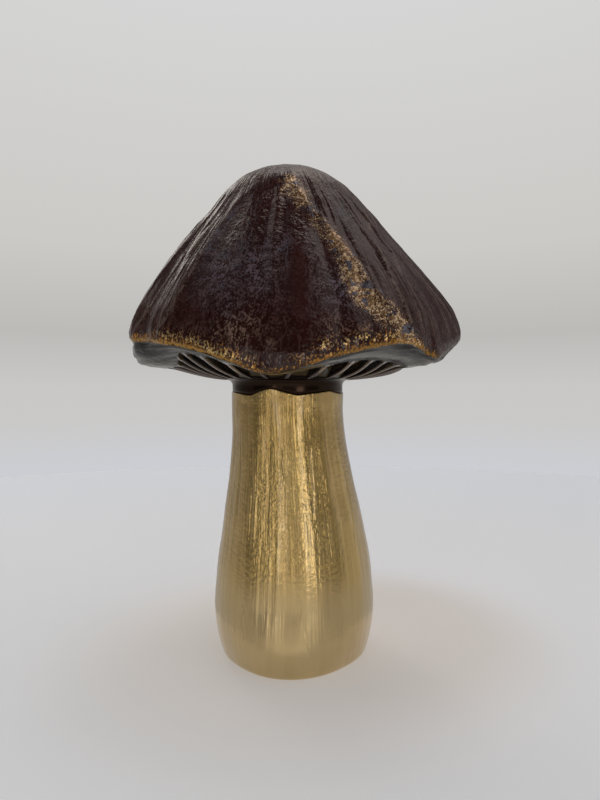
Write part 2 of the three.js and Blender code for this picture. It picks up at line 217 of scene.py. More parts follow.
# Stem: radius and sideways offset along the height
STEM_RADIUS = [
    (0, 28.3), (0.6, 29.2), (1.6, 29.8), (4, 30.5), (8, 31.5), (14, 32.5), (21, 32.85), (29, 32.3),
    (38, 31.4), (48, 29.75), (58, 28.1), (68, 26.2), (78, 24.7), (88, 23.5), (98, 23), (104.5, 23),
]
STEM_LEAN = [
    (0, 0), (25, -0.05), (48, -0.3), (67, -1.2), (87, -2.25), (97, -2.75), (104.5, NECK_LEAN),
]
FOOT_PLAN = [
    (-90, 1), (-60, 1.01), (-40, 1.045), (-20, 1.105), (-6, 1.12), (8, 1.105), (25, 1.055), (42, 1.01),
    (70, 1), (120, 1.01), (180, 1.04), (240, 1.01),
]
FOOT_PLAN_END = 26
FLUTES = [
    (-62, 9, -0.3), (-34, 8, 0.3), (-18, 7, -0.35), (8, 8, 0.3), (27, 7, -0.35), (52, 10, 0.3),
    (84, 10, -0.3), (118, 12, 0.3), (150, 9, -0.35), (182, 12, 0.3), (214, 9, -0.35), (246, 12, 0.3),
    (275, 9, -0.3),
]
FLUTE_FROM = 6
FLUTE_FULL = 30
FLUTE_FADE = 88
FLUTE_END = 103

# Creases in the gold: azimuth and height where each starts and ends, half-width, depth
CREASES = [
    (-6.3, 85, -6, 70, 0.28, 0.3), (21.5, 86, 17, 56, 0.3, 0.28), (-35, 88, -32, 42, 0.6, 0.28),
    (4.1, 33, 5.7, 21, 0.35, 0.14), (5.7, 21, 12.6, 7, 0.35, 0.16), (-34, 27, -34.5, 21, 0.3, 0.22),
    (-36, 24, -33, 12, 0.4, 0.14), (44, 16, 44, 11, 0.3, 0.16), (-8, 5.6, -1, 2.4, 0.3, 0.16),
    (-52, 90, -47, 52, 0.5, 0.2), (60, 84, 50, 40, 0.5, 0.2), (35, 30, 33, 14, 0.4, 0.12),
    (95, 88, 88, 50, 0.5, 0.24), (122, 60, 118, 22, 0.5, 0.2), (148, 92, 152, 58, 0.4, 0.28),
    (176, 40, 181, 10, 0.4, 0.18), (199, 86, 195, 48, 0.5, 0.26), (228, 70, 222, 30, 0.5, 0.2),
    (251, 94, 256, 60, 0.4, 0.28), (275, 48, 271, 14, 0.4, 0.18),
]

# Sampling of the fine meshes
CAP_COLUMNS = 720
TOP_ROWS = 86
LIP_ROWS = 14
GILL_ROWS = 22
GILL_ROW_POWER = 1.25
FILLET_ROWS = 4
COLLAR_ROWS = 3
STEM_COLUMNS = 480
STEM_WALL_ROWS = 184


def smooth(start, end, value):
    share = np.clip((np.asarray(value, float) - start) / (end - start), 0, 1)
    return share * share * (3 - 2 * share)


def hermite(span, share, value_a, slope_a, value_b, slope_b):
    start_weight = 2 * share**3 - 3 * share**2 + 1
    start_slope_weight = (share**3 - 2 * share**2 + share) * span
    end_slope_weight = (share**3 - share**2) * span
    ends = start_weight * value_a + (1 - start_weight) * value_b
    return ends + start_slope_weight * slope_a + end_slope_weight * slope_b


def around(knots, azimuth):
    """Smooth closed curve round the axis, through its knots."""
    at, value = np.array(knots, float).T
    after = np.append(at[1:], at[0] + 360)
    before = np.append(at[-1] - 360, at[:-1])
    slope = (np.roll(value, -1) - np.roll(value, 1)) / (after - before)
    turned = (np.asarray(azimuth, float) - at[0]) % 360 + at[0]
    low = np.searchsorted(at, turned, side="right") - 1
    high = (low + 1) % len(at)
    span = after[low] - at[low]
    share = (turned - at[low]) / span
    return hermite(span, share, value[low], slope[low], value[high], slope[high])


def along(knots, position):
    """Smooth open curve through its knots."""
    at, value = np.array(knots, float).T
    after, before = np.append(at[1:], at[-1]), np.append(at[0], at[:-1])
    rise = np.append(value[1:], value[-1]) - np.append(value[0], value[:-1])
    slope = rise / (after - before)
    held = np.clip(position, at[0], at[-1])
    low = np.clip(np.searchsorted(at, held, side="right") - 1, 0, len(at) - 2)
    span = at[low + 1] - at[low]
    share = (held - at[low]) / span
    return hermite(span, share, value[low], slope[low], value[low + 1], slope[low + 1])


def spline(points, share):
    """Uniform Catmull-Rom curve through points in a plane, as one array for each axis."""
    knots = np.array(points, float)
    last = len(knots) - 1
    position = np.asarray(share, float) * last
    low = np.minimum(np.floor(position).astype(int), last - 1)
    t = (position - low)[..., None]
    start, end = knots[low], knots[low + 1]
    start_slope = (end - knots[np.maximum(low - 1, 0)]) / 2
    end_slope = (knots[np.minimum(low + 2, last)] - start) / 2
    cubic = (2 * start - 2 * end + start_slope + end_slope) * t**3
    square = (3 * end - 3 * start - 2 * start_slope - end_slope) * t**2
    return np.moveaxis(cubic + square + start_slope * t + start, -1, 0)


def bell(away, width):
    """Soft bump from 0 to 1, with its half-width."""
    return np.exp(-((away / width) ** 2))


def degrees_from(middle, azimuth):
    """Angle round the axis from a middle, from -180 to 180 degrees."""
    return (azimuth - middle + 180) % 360 - 180


def folds(ridges, azimuth):
    """Sum of soft ridges and grooves round the axis."""
    return sum(rise * bell(degrees_from(middle, azimuth), width) for middle, width, rise in ridges)


def place(azimuth, radius, height, lean):
    angle = np.radians(azimuth)
    parts = (lean + radius * np.sin(angle), -radius * np.cos(angle), height + 0 * angle)
    return np.stack(np.broadcast_arrays(*parts), -1)


def edge_distance(azimuth, edge, drop_share, radius):
    """Distance round the cap from an edge line, in millimetres, positive past it."""
    return np.radians(degrees_from(along(edge, drop_share), azimuth)) * radius


def face_edges(azimuth, drop_share, radius, face):
    """Distances in from a sunken face's left and right edges, and how far it has begun."""
    left, right, top = face
    from_left = edge_distance(azimuth, left, drop_share, radius)
    to_right = -edge_distance(azimuth, right, drop_share, radius)
    begun = smooth(top - FACE_TOP_EDGE, top + FACE_TOP_EDGE, drop_share)
    return from_left, to_right, begun * (1 - smooth(FACE_FADE, 1, drop_share))


def face_inside(azimuth, drop_share, radius, face):
    """How far inside a sunken face a place is, from 0 to 1."""
    from_left, to_right, begun = face_edges(azimuth, drop_share, radius, face)
    return smooth(-FACE_SKIRT, FACE_EDGE, from_left) * smooth(-FACE_SKIRT, FACE_EDGE, to_right) * begun


def top_rise(azimuth, drop_share, radius):
    """Change of the radius by the sunken faces and the narrow ridges, in millimetres."""
    rise = 0
    for face in FACES:
        from_left, to_right, begun = face_edges(azimuth, drop_share, radius, face)
        side_beads = LEFT_BEAD_SHARE * bell(from_left, FACE_BEAD_WIDTH) * begun
        side_beads = side_beads + bell(to_right, FACE_BEAD_WIDTH) * begun
        across = smooth(*FACE_TOP_BEAD_ENDS, from_left) * smooth(*FACE_TOP_BEAD_ENDS, to_right)
        top_bead = across * bell(drop_share - face[-1] + FACE_TOP_EDGE, FACE_TOP_BEAD_WIDTH)
        rise = rise + FACE_BEAD * side_beads + FACE_TOP_BEAD * top_bead
        rise = rise - FACE_DEPTH * face_inside(azimuth, drop_share, radius, face)
    for line, width, height in FLANK_RIDGES:
        start = line[0][0]
        begun = smooth(start - FLANK_RIDGE_FADE, start + FLANK_RIDGE_FADE, drop_share)
        rise = rise + height * bell(edge_distance(azimuth, line, drop_share, radius), width) * begun
    return rise


def ridge_lines(azimuth, drop_share, radius):
    """How close a place is to the crest of a narrow ridge, from 0 to 1."""
    close = 0
    for line, width, _ in FLANK_RIDGES:
        away = edge_distance(azimuth, line, drop_share, radius)
        begun = smooth(line[0][0], line[0][0] + 2 * FLANK_RIDGE_FADE, drop_share)
        close = np.maximum(close, bell(FLANK_LINE_SHARPNESS * away, width) * begun)
    return close


def top_points(azimuth, share):
    radius_share, drop_share = spline(CAP_OUTLINE, share)
    plan = 1 + (around(CAP_PLAN, azimuth) - 1) * smooth(PLAN_FROM, PLAN_FULL, drop_share)
    fold = folds(FOLDS, azimuth) * smooth(FOLD_FROM, FOLD_FULL, drop_share)
    droop = CAP_TOP - CAP_DROP - around(RIM_HEIGHT, azimuth)
    height = CAP_TOP - CAP_DROP * drop_share - droop * np.maximum(drop_share, 0) ** DROOP_POWER
    radius = CAP_RADIUS * radius_share * plan + fold
    radius = radius + top_rise(azimuth, drop_share, radius)
    return place(azimuth, radius, height, along(CAP_LEAN, drop_share))


def lip_points(azimuth, share):
    fold = folds(FOLDS, azimuth) * (1 - smooth(0, FOLD_END_ON_LIP, share))
    rim_radius = CAP_RADIUS * CAP_OUTLINE[-1][0] * around(CAP_PLAN, azimuth) + fold
    inner = around(LIP_RADIUS, azimuth)
    power = 2 / around(LIP_FULLNESS, azimuth)
    across = np.maximum(np.cos(share * math.pi / 2), 0) ** power
    down = np.sin(share * math.pi / 2) ** power
    rim = around(RIM_HEIGHT, azimuth)
    height = rim + (around(LIP_HEIGHT, azimuth) - rim) * down
    return place(azimuth, inner + (rim_radius - inner) * across, height, CAP_LEAN_RIM)


def swept(azimuth, share):
    """Azimuth of a gill at a share of its length, 1 at the lip and 0 at the neck."""
    return azimuth + around(GILL_SWEEP, azimuth) * (1 - share) ** GILL_SWEEP_POWER


def gill_points(azimuth, share, depth):
    start = NECK_RADIUS + NECK_FILLET
    inner = around(LIP_RADIUS, azimuth)
    turned = swept(azimuth, share)
    radius = start + (inner - start) * share
    rise = around(GILL_RISE, turned) / GILL_RISE_SPAN**GILL_RISE_POWER
    crest = NECK_HEIGHT + rise * (radius - start) ** GILL_RISE_POWER
    outer_crest = NECK_HEIGHT + rise * (inner - start) ** GILL_RISE_POWER
    step = (around(LIP_HEIGHT, azimuth) - outer_crest) * share**LIP_STEP_POWER
    arch = smooth(HOLLOW_ARCH, 1, share)
    hollow = smooth(0, HOLLOW_WALL, depth - arch) * smooth(0, HOLLOW_START, share)
    lean = NECK_LEAN + (CAP_LEAN_RIM - NECK_LEAN) * share
    return place(turned, radius, crest + step + GILL_DEPTH * hollow, lean)


def fillet_points(azimuth, share):
    angle = share * math.pi / 2
    radius = NECK_RADIUS + NECK_FILLET * (1 - np.sin(angle))
    return place(azimuth, radius, NECK_HEIGHT - NECK_FILLET * (1 - np.cos(angle)), NECK_LEAN)


def collar_points(azimuth, share):
    top = NECK_HEIGHT - NECK_FILLET
    bottom = around(GOLD_EDGE, azimuth) + SEAM_GAP
    return place(azimuth, NECK_RADIUS, top + (bottom - top) * share, NECK_LEAN)


def stem_points(azimuth, share):
    height = share * (around(GOLD_EDGE, azimuth) - EDGE_ROUND)
    fade = smooth(FLUTE_FROM, FLUTE_FULL, height) * (1 - smooth(FLUTE_FADE, FLUTE_END, height))
    plan = 1 + (around(FOOT_PLAN, azimuth) - 1) * (1 - smooth(0, FOOT_PLAN_END, height))
    radius = along(STEM_RADIUS, height) * plan + folds(FLUTES, azimuth) * fade
    return place(azimuth, radius, height, along(STEM_LEAN, height))


def noise_round(turn, reach, cells_round, cells_along, seed):
    """Smooth noise from -1 to 1 that closes on itself round the axis."""
    grid = np.random.default_rng(seed).uniform(-1, 1, (cells_along + 2, cells_round))
    across = (turn % 1) * cells_round
    down = np.clip(reach, 0, 1) * cells_along
    column, row = np.floor(across).astype(int), np.floor(down).astype(int)
    s, t = smooth(0, 1, across - column), smooth(0, 1, down - row)
    column, following = column % cells_round, (column + 1) % cells_round
    upper = grid[row, column] * (1 - s) + grid[row, following] * s
    lower = grid[row + 1, column] * (1 - s) + grid[row + 1, following] * s
    return upper * (1 - t) + lower * t


def noise_solid(points, size, seed, cells=32):
    """Smooth noise from -1 to 1 through space, with cells of the given size in millimetres."""
    grid = np.random.default_rng(seed).uniform(-1, 1, (cells, cells, cells))
    position = points / size
    low = np.floor(position).astype(int)
    t = smooth(0, 1, position - low)
    total = 0
    for corner in np.ndindex(2, 2, 2):
        weight = np.prod(np.where(np.array(corner) == 1, t, 1 - t), axis=-1)
        cell = (low + np.array(corner)) % cells
        total = total + weight * grid[cell[..., 0], cell[..., 1], cell[..., 2]]
    return total


def noise_layers(turn, reach, layers):
    """Sum of noises round the axis. Each has its cells round and along, seed and height."""
    return sum(height * noise_round(turn, reach, *grid) for *grid, height in layers)


def noise_spots(points, layers):
    """Sum of noises through space. Each has its size, seed and height."""
    return sum(height * noise_solid(points, size, seed) for size, seed, height in layers)


def surface_normals(points):
    """Outward unit normals of a grid of rows from the top down and columns round the axis."""
    down = np.gradient(points, axis=0)
    across = np.roll(points, -1, axis=1) - np.roll(points, 1, axis=1)
    normal = np.cross(down, across)
    return normal / np.maximum(np.linalg.norm(normal, axis=-1, keepdims=True), 1e-9)


def distance_down(points):
    """Length along each column from its first row, in millimetres."""
    steps = np.linalg.norm(np.diff(points, axis=0), axis=-1)
    return np.concatenate([np.zeros((1, points.shape[1])), np.cumsum(steps, axis=0)])


def grain_field(azimuth, length):
    """Coordinates for streaks: two round the axis, and one along the surface."""
    angle = np.radians(azimuth)
    return np.stack(np.broadcast_arrays(np.sin(angle), np.cos(angle), length), -1)


def ring_quads(rows, columns, first):
    """Quads between rings of points that are numbered from a first one."""
    index = first + np.arange(rows * columns).reshape(rows, columns)
    following = np.roll(index, -1, axis=1)
    quads = np.stack([index[:-1], index[1:], following[1:], following[:-1]], -1)
    return quads.reshape(-1, 4), index, following


def new_object(name, points, faces, material):
    mesh = bpy.data.meshes.new(name)
    mesh.from_pydata(points, [], faces)
    mesh.polygons.foreach_set("use_smooth", np.ones(len(faces), bool))
    mesh.materials.append(material)
    made = bpy.data.objects.new(name, mesh)
    bpy.context.scene.collection.objects.link(made)
    return made


def make_piece(name, rings, first_pole, last_pole, slot, node, material, fields):
    """Closed mesh from rings between two poles, with named fields on its points."""
    rows, columns = rings.shape[:2]
    points = np.concatenate([[first_pole], rings.reshape(-1, 3), [last_pole]]) * MM
    quads, index, following = ring_quads(rows, columns, 1)
    first = np.stack([np.zeros(columns, int), index[0], following[0]], -1)
    last = np.stack([np.full(columns, len(points) - 1), following[-1], index[-1]], -1)
    piece = new_object(name, points.tolist(), quads.tolist() + first.tolist() + last.tolist(), material)
    for label, values in fields.items():
        kind, key = ("FLOAT_VECTOR", "vector") if values.ndim == 3 else ("FLOAT", "value")
        flat = values.reshape(rows * columns, -1).astype(np.float32)
        flat = np.concatenate([flat[:1], flat, flat[-1:]])
        piece.data.attributes.new(label, kind, "POINT").data.foreach_set(key, flat.ravel())
    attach(piece, "root")
    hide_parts(node)
    return piece


# Marks in the glaze: azimuth, height above the rim, half-width in degrees, half-height, strength
# Frost and painted sheen: paler, bluish patches of glaze colour, partly frosting and partly the glaze's
# glossy bluish sheen painted in
FROST_AND_SHEEN = [
    (-27, 32, 9, 14, 1), (-12, 37, 7, 12, 0.9), (-3, 48, 7, 9, 0.7), (-19, 18, 6, 6, 0.6),
    (9, 44, 5, 9, 0.6), (14, 24, 7, 10, 1), (-35, 60, 3.5, 9, 1), (-37, 45, 3.5, 9, 1),
    (18, 33, 3, 7, 0.7), (32, 60, 8, 16, 0.8), (125, 40, 12, 20, 0.8), (145, 20, 8, 12, 0.7),
    (185, 45, 14, 18, 0.8), (215, 22, 12, 12, 0.9), (80, 50, 8, 20, 0.5), (262, 40, 8, 20, 0.5),
]
RED = [
    (3, 32, 3.5, 20, 1.5), (-10, 10, 7, 10, 0.4), (8, 14, 4, 10, 0.7), (-9, 71, 16, 12, 1),
    (9, 56, 3, 10, 0.8), (16, 40, 4, 8, 0.8), (-34, 12, 8, 8, 0.8), (60, 30, 14, 30, 0.5),
    (-75, 30, 10, 30, 0.5), (120, 12, 9, 12, 1), (150, 40, 6, 26, 1.2), (190, 12, 9, 14, 1),
    (220, 50, 6, 24, 1),
]
WORN = [
    (-16, 10, 4, 6, 0.9), (-23, 8, 3, 4, 0.5), (-7, 9, 2, 5, 0.4), (11, 7, 3.5, 6, 1),
    (21, 6, 4, 4, 0.6), (-34, 5, 5, 3, 0.5), (-12, 16, 3, 6, 0.5), (118, 8, 7, 6, 0.8),
    (140, 7, 5, 6, 0.7), (180, 9, 6, 7, 0.9), (204, 6, 6, 5, 0.8), (228, 8, 5, 6, 0.7),
]
# Painted glints: bright spots of colour laid on the rim where light catches it
GLINTS = [
    (-41, 3.8, 6, 1.8, 1), (-30, 4, 6, 1.7, 1.1), (-22, 2.4, 9, 1.6, 1.1), (-12, 3, 4, 2, 0.45),
    (2, 3, 4, 2, 0.5), (9, 5.5, 3, 2.2, 1), (19, 4.4, 6, 2, 1.1), (28, 3, 5, 1.6, 0.8),
    (98, 3, 9, 2, 0.7), (122, 4, 8, 2, 0.9), (150, 3, 9, 2, 0.8), (176, 4, 8, 2, 0.9),
    (200, 3, 8, 2, 0.8), (224, 4, 9, 2, 0.9), (252, 3, 9, 2, 0.6),
]
APEX_SPOT = [(1, 80, 7, 5, 1)]
# The top is frosted all over, partly a painted sheen
FROST_AND_SHEEN_ON_TOP = (82, 90)
ABOVE_BAND = (2, 9)
FLANK_TOP = (74, 90)

# The amber band over the rim and the gold line along it: strength by azimuth, height, half-width
# The band is real glaze; its strength by azimuth and the gold line's shine are painted highlight, strongest
# where light catches the rim
AMBER_AND_SHINE_STRENGTH = [
    (-90, 0.4), (-66, 0.6), (-52, 1), (-22, 0.75), (-12, 0.4), (-5, 0.3), (4, 0.35), (11, 0.7),
    (20, 1), (36, 1), (43, 0.6), (50, 0.12), (70, 0.08), (92, 0.4), (104, 1), (240, 1),
]
AMBER_HEIGHT = 4.6
AMBER_WAVES = [(60, 1, 52, 1.8), (17, 1, 53, 1.8)]
AMBER_LOWEST = 1.5
EDGE_SHINE = [
    (-90, 0.2), (-60, 0.5), (-48, 0.9), (-22, 1), (-13, 0.3), (-5, 0.1), (4, 0.12), (16, 0.5),
    (35, 0.6), (45, 0.35), (53, 0.05), (90, 0.15), (115, 0.8), (140, 0.5), (165, 1), (190, 0.6),
    (215, 1), (245, 0.4),
]
EDGE_LINE_HEIGHT = 0.6
EDGE_LINE_WIDTH = 0.8
BELOW_RIM = -0.2

# The speckled ridge beside a face's right edge: middle and half-width by drop share, patches
RIDGE_MIDDLE = [(0.15, 0), (0.3, 0.6), (0.5, 1), (0.65, 2), (0.8, 3.5), (1, 3)]
RIDGE_WIDTH = [(0.15, 4.5), (0.3, 3.6), (0.5, 3.5), (0.65, 3.8), (0.8, 5.5), (1, 5)]
RIDGE_STRENGTH = 0.75
RIDGE_PATCHES = [(40, 20, 54, 0.5)]
RIDGE_SPOTS = [(5, 55, 0.3)]


def marks(places, azimuth, above_rim):
    """Soft spots laid over the cap, from 0 to 1."""
    total = 0
    for middle, height, wide, tall, strength in places:
        away = (degrees_from(middle, azimuth) / wide) ** 2 + ((above_rim - height) / tall) ** 2
        total = np.maximum(total, strength * np.exp(-away))
    return total


# Cap: fine relief, with a distance or a radius from where each part begins to where it is full
RELIEF_SINK = 0.3
RELIEF_SPAN = 110
STRAND_DRIFT = [(9, 3, 11, 0.006)]
STRANDS = [(110, 5, 12, 0.26), (210, 7, 13, 0.16)]
STRAND_SHARPNESS = 3
STRANDS_ON_FACES = 0.2
STRANDS_FROM = (6, 34)
TOP_WAVES = [(44, 4, 14, 0.24)]
DIMPLES = [(2.2, 15, 0.09), (5.5, 16, 0.18)]
DIMPLES_FROM = (0, 20)
RIM_BEAD = 0.25
RIM_BEAD_HEIGHT = 1.2
RIM_BEAD_WIDTH = 1
LIP_SPAN = 24
LIP_SLANT = 0.5
LIP_BANDS = [(26, 8, 17, 0.26), (40, 20, 19, 0.12)]
LIP_BANDS_FROM = (0.8, 3)
CREASE_START = (0, 0.25)
CREASE_END = (0.75, 1)
UNDERCUT = 0.5
UNDERCUT_BELOW = 0.9
UNDERCUT_WIDTH = 0.6
SECTION_TOP, SECTION_LIP, SECTION_GILLS = 0, 1, 2


def lip_creases(azimuth, below_rim):
    total = 0
    for start, start_below, end, end_below, half_width, deep in LIP_CREASES:
        share = ((azimuth - start) % 360) / (end - start)
        away = below_rim - start_below - (end_below - start_below) * share
        fade = smooth(*CREASE_START, share) * (1 - smooth(*CREASE_END, share))
        total = total + deep * bell(away, half_width) * fade
    return total


def cap_relief(points, azimuth, turn, above_rim, sections, inside):
    """Height of the fine relief over the cap, in millimetres, along its normals."""
    reach = above_rim / RELIEF_SPAN
    radius = np.hypot(points[..., 0], points[..., 1])
    drift = turn + noise_layers(turn, reach, STRAND_DRIFT)
    strands = 0
    for *grid, depth in STRANDS:
        strands = strands - depth * (1 - np.abs(noise_round(drift, reach, *grid))) ** STRAND_SHARPNESS
    strands = strands * (1 - (1 - STRANDS_ON_FACES) * inside)
    waves = noise_layers(drift, reach, TOP_WAVES)
    dimples = noise_spots(points, DIMPLES) * smooth(*DIMPLES_FROM, radius)
    bead = RIM_BEAD * bell(above_rim - RIM_BEAD_HEIGHT, RIM_BEAD_WIDTH)
    top = (strands + waves) * smooth(*STRANDS_FROM, radius) + dimples + bead
    below = np.clip(-above_rim / LIP_SPAN, 0, 1)
    bands = noise_layers(turn - LIP_SLANT * below, below, LIP_BANDS) * smooth(*LIP_BANDS_FROM, -above_rim)
    undercut = UNDERCUT * bell(above_rim + UNDERCUT_BELOW, UNDERCUT_WIDTH)
    lip = bands - lip_creases(azimuth, -above_rim) - undercut
    relief = np.where(sections == SECTION_TOP, top, 0) + np.where(sections == SECTION_LIP, lip, 0)
    return relief - RELIEF_SINK * (sections <= SECTION_LIP)


def top_features(azimuth, share, rows):
    """Sunken faces, speckled ridges and narrow ridges, from 0 to 1, and 0 below the rim."""
    radius_share, drop_share = spline(CAP_OUTLINE, share)
    radius = CAP_RADIUS * radius_share
    inside = 0
    crest = 0
    for face in FACES:
        _, right, top = face
        inside = np.maximum(inside, face_inside(azimuth, drop_share, radius, face))
        away = -edge_distance(azimuth, right, drop_share, radius) - along(RIDGE_MIDDLE, drop_share)
        begun = smooth(top - FACE_TOP_EDGE, top, drop_share)
        crest = np.maximum(crest, bell(away, along(RIDGE_WIDTH, drop_share)) * begun)
    lines = ridge_lines(azimuth, drop_share, radius)
    spare = np.zeros((rows - TOP_ROWS, CAP_COLUMNS))
    return [np.concatenate([field, spare]) for field in (inside, crest, lines)]


def rim_fields(azimuth, turn, above_rim):
    """Strength of the amber band over the rim, and of the gold line along it."""
    over_rim = above_rim > BELOW_RIM
    band = np.maximum(AMBER_HEIGHT + noise_layers(turn, 0 * above_rim, AMBER_WAVES), AMBER_LOWEST)
    amber = np.clip((1 - above_rim / band) * around(AMBER_AND_SHINE_STRENGTH, azimuth), 0, 1) * over_rim
    line = bell(above_rim - EDGE_LINE_HEIGHT, EDGE_LINE_WIDTH) * around(EDGE_SHINE, azimuth) * over_rim
    return amber, line


def ridge_field(points, turn, above_rim, crest):
    """Strength of the speckled ridge, in patches."""
    reach = above_rim / RELIEF_SPAN
    patches = RIDGE_STRENGTH + noise_layers(turn, reach, RIDGE_PATCHES)
    return np.clip(crest * (patches + noise_spots(points, RIDGE_SPOTS)), 0, 1)


def even(rows, turn):
    """For every column, shares of the way from the first row to the last, which is 1."""
    return (np.arange(rows)[:, None] + 1) / rows + 0 * turn


def build_cap(material):
    turn = np.arange(CAP_COLUMNS)[None, :] / CAP_COLUMNS
    azimuth = 360 * turn + GILL_WANDER * np.sin(2 * math.pi * GILL_WAVES * turn)
    neck_azimuth = swept(azimuth, 0)
    depth = 1 - (0.5 + 0.5 * np.cos(2 * math.pi * GILLS * turn)) ** GILL_SHARPNESS
    top_share = even(TOP_ROWS, turn)
    lip_share = 0.5 - 0.5 * np.cos(math.pi * even(LIP_ROWS, turn))
    inward = 1 - even(GILL_ROWS, turn) ** GILL_ROW_POWER
    parts = [
        top_points(azimuth, top_share),
        lip_points(azimuth, lip_share),
        gill_points(azimuth, inward, depth),
        fillet_points(neck_azimuth, even(FILLET_ROWS, turn)),
        collar_points(neck_azimuth, even(COLLAR_ROWS, turn)),
    ]
    points = np.concatenate(parts)
    sections = np.repeat(np.arange(len(parts)), [len(part) for part in parts])[:, None]
    down = distance_down(points)
    above_rim = down[TOP_ROWS - 1] - down
    inside, crest, lines = top_features(azimuth, top_share, len(points))
    relief = cap_relief(points, azimuth, turn, above_rim, sections, inside)
    hidden = [
        place(neck_azimuth, SPIGOT_RADIUS, around(GOLD_EDGE, neck_azimuth) + SEAM_GAP, NECK_LEAN),
        place(neck_azimuth, SPIGOT_RADIUS, SPIGOT_BOTTOM, NECK_LEAN),
    ]
    rings = np.concatenate([points + surface_normals(points) * relief[..., None], *hidden])

    amber, edge_line = rim_fields(azimuth, turn, above_rim)
    ridge = ridge_field(points, turn, above_rim, crest)
    above_band = smooth(*ABOVE_BAND, above_rim)
    # Frost and painted bluish sheen, in patches and all over the top
    frost = marks(FROST_AND_SHEEN, azimuth, above_rim) + smooth(*FROST_AND_SHEEN_ON_TOP, above_rim)
    fields = {
        "on_top": sections == SECTION_TOP,
        "gill_crest": (sections == SECTION_GILLS) * (1 - depth),
        "lip": sections == SECTION_LIP,
        "neck": sections > SECTION_GILLS,
        "amber": amber,
        "edge_line": edge_line,
        "glint": marks(GLINTS, azimuth, above_rim),
        "ridge": np.maximum(ridge, marks(APEX_SPOT, azimuth, above_rim)),
        "frost": np.clip(frost, 0, 1),
        "worn": marks(WORN, azimuth, above_rim),
        "flank": (1 - inside) * above_band * (1 - smooth(*FLANK_TOP, above_rim)),
        # Painted highlight along the narrow ridges' crests
        "line": lines * above_band,
        "red": np.clip(marks(RED, azimuth, above_rim), 0, 1),
    }
    fields = {label: np.broadcast_to(values, above_rim.shape) for label, values in fields.items()}
    fields["grain"] = grain_field(azimuth, down / CAP_RADIUS)
    for label, values in fields.items():
        fields[label] = np.concatenate([values, np.repeat(values[-1:], len(hidden), axis=0)])
    top_pole = (CAP_LEAN_TOP, 0, CAP_TOP - RELIEF_SINK)
    bottom_pole = (NECK_LEAN, 0, SPIGOT_BOTTOM)
    return make_piece("cap_glazed", rings, top_pole, bottom_pole, "dark_glaze", "cap", material, fields)


# Stem: fine relief
STEM_SPAN = 108
STEM_DRIFT = [(7, 4, 31, 0.004)]
STEM_STREAKS = [(210, 9, 32, 0.015), (96, 6, 33, 0.03)]
STEM_WAVES = [(34, 3, 34, 0.1)]
STEM_SWELLS = [(9, 35, 0.08)]
WRINKLES = [(2.6, 36, 0.05)]
WRINKLE_SQUASH = np.array([1, 1, 0.8])
WRINKLES_FROM = (36, 56)
GOLD_CREASE_START = (-0.02, 0.22)
GOLD_CREASE_END = (0.75, 1.02)
CREASE_WANDER = 0.6
CREASE_BENDS = 9
CREASE_LIP = 0.35
CREASE_LIP_AWAY = 2.2
FOOT_PLAIN = (0, 2)
EDGE_PLAIN = (0.965, 0.995)
GRAIN_LENGTH = 32.5
HEIGHT_UNIT = 100
HOLLOW_DEPTH = 0.3


def crease_depth(azimuth, height, crease):
    """Depth of one crease, in millimetres, which fades at both of its ends."""
    start_azimuth, start_height, end_azimuth, end_height, half_width, deep = crease
    share = (height - start_height) / (end_height - start_height)
    middle = start_azimuth + (end_azimuth - start_azimuth) * share
    middle = middle + CREASE_WANDER * np.sin(CREASE_BENDS * share + start_azimuth)
    away = np.radians(degrees_from(middle, azimuth)) * along(STEM_RADIUS, height) / half_width
    inside = smooth(*GOLD_CREASE_START, share) * (1 - smooth(*GOLD_CREASE_END, share))
    return deep * (bell(away, 1) - CREASE_LIP * bell(away - CREASE_LIP_AWAY, 1)) * inside


def stem_relief(points, azimuth, turn, height):
    reach = height / STEM_SPAN
    drift = turn + noise_layers(turn, reach, STEM_DRIFT)
    waves = noise_layers(drift, reach, STEM_WAVES) + noise_spots(points, STEM_SWELLS)
    wrinkles = noise_spots(points * WRINKLE_SQUASH, WRINKLES) * smooth(*WRINKLES_FROM, height)
    creases = sum(crease_depth(azimuth, height, crease) for crease in CREASES)
    return noise_layers(drift, reach, STEM_STREAKS) + waves + wrinkles - creases


def build_stem(material):
    turn = np.arange(STEM_COLUMNS)[None, :] / STEM_COLUMNS
    azimuth = 360 * turn
    edge = around(GOLD_EDGE, azimuth)
    share = 1 - np.arange(STEM_WALL_ROWS + 1)[:, None] / STEM_WALL_ROWS
    wall = stem_points(azimuth, share + 0 * turn)
    height = wall[..., 2]
    relief = stem_relief(wall, azimuth, turn, height)
    relief = relief * smooth(*FOOT_PLAIN, height) * (1 - smooth(*EDGE_PLAIN, share))
    wall = wall + surface_normals(wall) * relief[..., None]
    floor = SPIGOT_BOTTOM - SPIGOT_GAP
    bore = SPIGOT_RADIUS + SPIGOT_GAP
    top_radius = along(STEM_RADIUS, edge - EDGE_ROUND)
    above = [place(azimuth, bore, floor, NECK_LEAN), place(azimuth, bore, edge, NECK_LEAN)]
    for angle in np.radians(EDGE_ROUND_ANGLES):
        radius = top_radius + EDGE_ROUND * (math.sin(angle) - 1)
        above.append(place(azimuth, radius, edge + EDGE_ROUND * (math.cos(angle) - 1), NECK_LEAN))
    fields = {
        "grain": grain_field(azimuth, height / GRAIN_LENGTH),
        "height": height / HEIGHT_UNIT,
        # How sunken the relief is, where the gold is darkened as painted shade
        "hollow": np.clip(-relief / HOLLOW_DEPTH, 0, 1),
    }
    for label, values in fields.items():
        fields[label] = np.concatenate([np.repeat(values[:1], len(above), axis=0), values])
    rings = np.concatenate([*above, wall])
    poles = (NECK_LEAN, 0, floor), (0, 0, 0)
    return make_piece("stem_gold", rings, *poles, "gold", "stem", material, fields)


